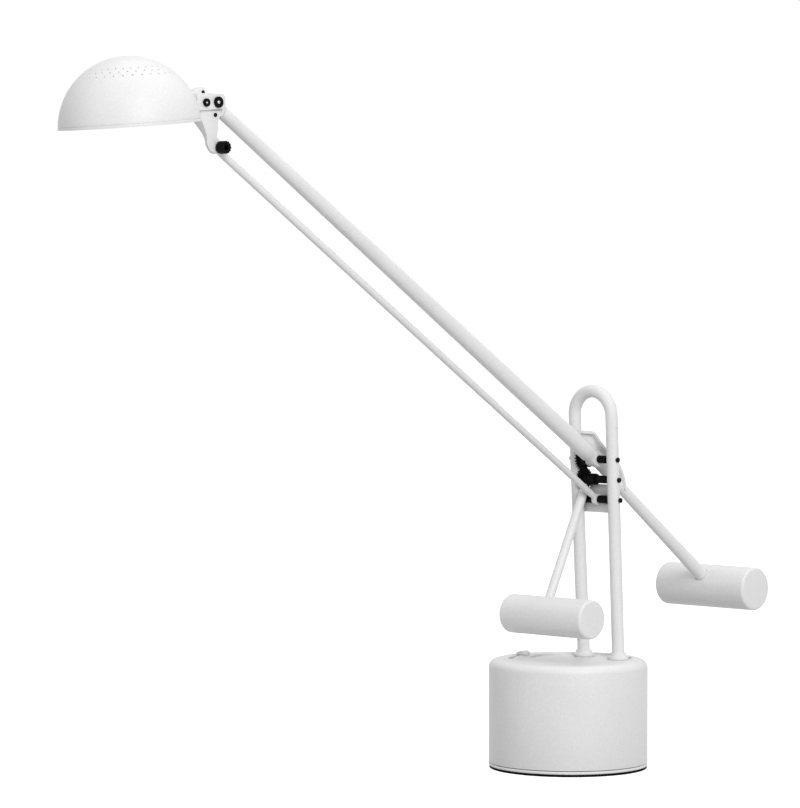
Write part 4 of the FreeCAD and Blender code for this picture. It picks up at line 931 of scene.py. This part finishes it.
class LAMP_OT_stage(bpy.types.Operator):
    """Lay the paper, hang the lights and set the camera"""

    bl_idname = "lamp.stage"
    bl_label = "Stage"

    def execute(self, context):
        deselect_all()
        bpy.ops.mesh.primitive_plane_add(size=FLOOR_SIZE, location=(0, 0, -FLOOR_GAP))
        floor = context.object
        floor.name = "paper"
        colour = opaque(tuple(context.scene.lamp_colours.floor))
        floor.data.materials.append(paper(colour, PAPER_GLOW))
        context.scene.world = studio(STUDIO_LIGHT)
        for name, place, power, width in SOFT_BOXES:
            deselect_all()
            bpy.ops.object.light_add(type="AREA", location=place)
            light = context.object
            light.name = name
            light.data.energy = power
            light.data.size = width
            light.rotation_euler = (AIM - Vector(place)).to_track_quat("-Z", "Y").to_euler()

        deselect_all()
        bpy.ops.object.camera_add(location=EYE)
        camera = context.object
        forward = Vector((math.cos(HEADING) * math.cos(FALL), math.sin(HEADING) * math.cos(FALL),
                          -math.sin(FALL)))
        camera.rotation_euler = forward.to_track_quat("-Z", "Y").to_euler()
        camera.data.lens = LENS
        camera.data.sensor_width = SENSOR
        camera.data.clip_end = CLIP_END
        context.scene.camera = camera
        context.scene.view_settings.view_transform = "Standard"
        return {"FINISHED"}


def paper(colour, glow):
    """Paper that shows white, but keeps the lamp's shadow where it stands."""
    finish = Finish("paper")
    fibres = finish.noise(60.0, 4.0)
    finish.surface(Base_Color=colour, Roughness=0.85 + fibres * 0.1)
    tree = finish.material.node_tree
    light = tree.nodes.new("ShaderNodeEmission")
    light.inputs["Strength"].default_value = glow
    both = tree.nodes.new("ShaderNodeAddShader")
    tree.links.new(finish.shader.outputs[0], both.inputs[0])
    tree.links.new(light.outputs[0], both.inputs[1])
    mix = tree.nodes.new("ShaderNodeMixShader")
    tree.links.new(seen_directly(tree), mix.inputs[0])
    tree.links.new(finish.shader.outputs[0], mix.inputs[1])
    tree.links.new(both.outputs[0], mix.inputs[2])
    tree.links.new(mix.outputs[0], tree.nodes["Material Output"].inputs["Surface"])
    return finish.material


def studio(strength):
    """Soft light from all round, which shows as plain white."""
    world = bpy.data.worlds.new("studio")
    world.use_nodes = True
    tree = world.node_tree
    soft = tree.nodes["Background"]
    white = tree.nodes.new("ShaderNodeBackground")
    for background, level in ((soft, strength), (white, 1.0)):
        background.inputs["Color"].default_value = (1, 1, 1, 1)
        background.inputs["Strength"].default_value = level
    mix = tree.nodes.new("ShaderNodeMixShader")
    tree.links.new(seen_directly(tree), mix.inputs[0])
    tree.links.new(soft.outputs[0], mix.inputs[1])
    tree.links.new(white.outputs[0], mix.inputs[2])
    tree.links.new(mix.outputs[0], tree.nodes["World Output"].inputs["Surface"])
    return world


class LAMP_PT_panel(bpy.types.Panel):
    """Buttons that build the lamp step by step."""

    bl_idname = "LAMP_PT_panel"
    bl_label = "Balance Desk Lamp"
    bl_space_type = "VIEW_3D"
    bl_region_type = "UI"
    bl_category = "Lamp"

    def draw(self, context):
        layout = self.layout
        for group in (context.scene.lamp_colours, context.scene.lamp_sizes):
            for name in group.__annotations__:
                layout.prop(group, name)
        for step in STEPS:
            layout.operator(step.bl_idname)


STEPS = (
    LAMP_OT_stage,
    LAMP_OT_finishes,
    LAMP_OT_foot,
    LAMP_OT_drum,
    LAMP_OT_works,
    LAMP_OT_mast,
    LAMP_OT_collars,
    LAMP_OT_arm,
    LAMP_OT_lever,
    LAMP_OT_tie_rod,
    LAMP_OT_head,
    LAMP_OT_knob,
    LAMP_OT_shade,
    LAMP_OT_lamp,
)
CLASSES = (LampColours, LampSizes, *STEPS, LAMP_PT_panel)


def register():
    for item in CLASSES:
        bpy.utils.register_class(item)
    bpy.types.Scene.lamp_colours = PointerProperty(type=LampColours)
    bpy.types.Scene.lamp_sizes = PointerProperty(type=LampSizes)


def unregister():
    del bpy.types.Scene.lamp_sizes
    del bpy.types.Scene.lamp_colours
    for item in reversed(CLASSES):
        bpy.utils.unregister_class(item)


def main():
    register()
    for step in STEPS:
        group, call = step.bl_idname.split(".")
        getattr(getattr(bpy.ops, group), call)()


if __name__ == "__main__":
    main()
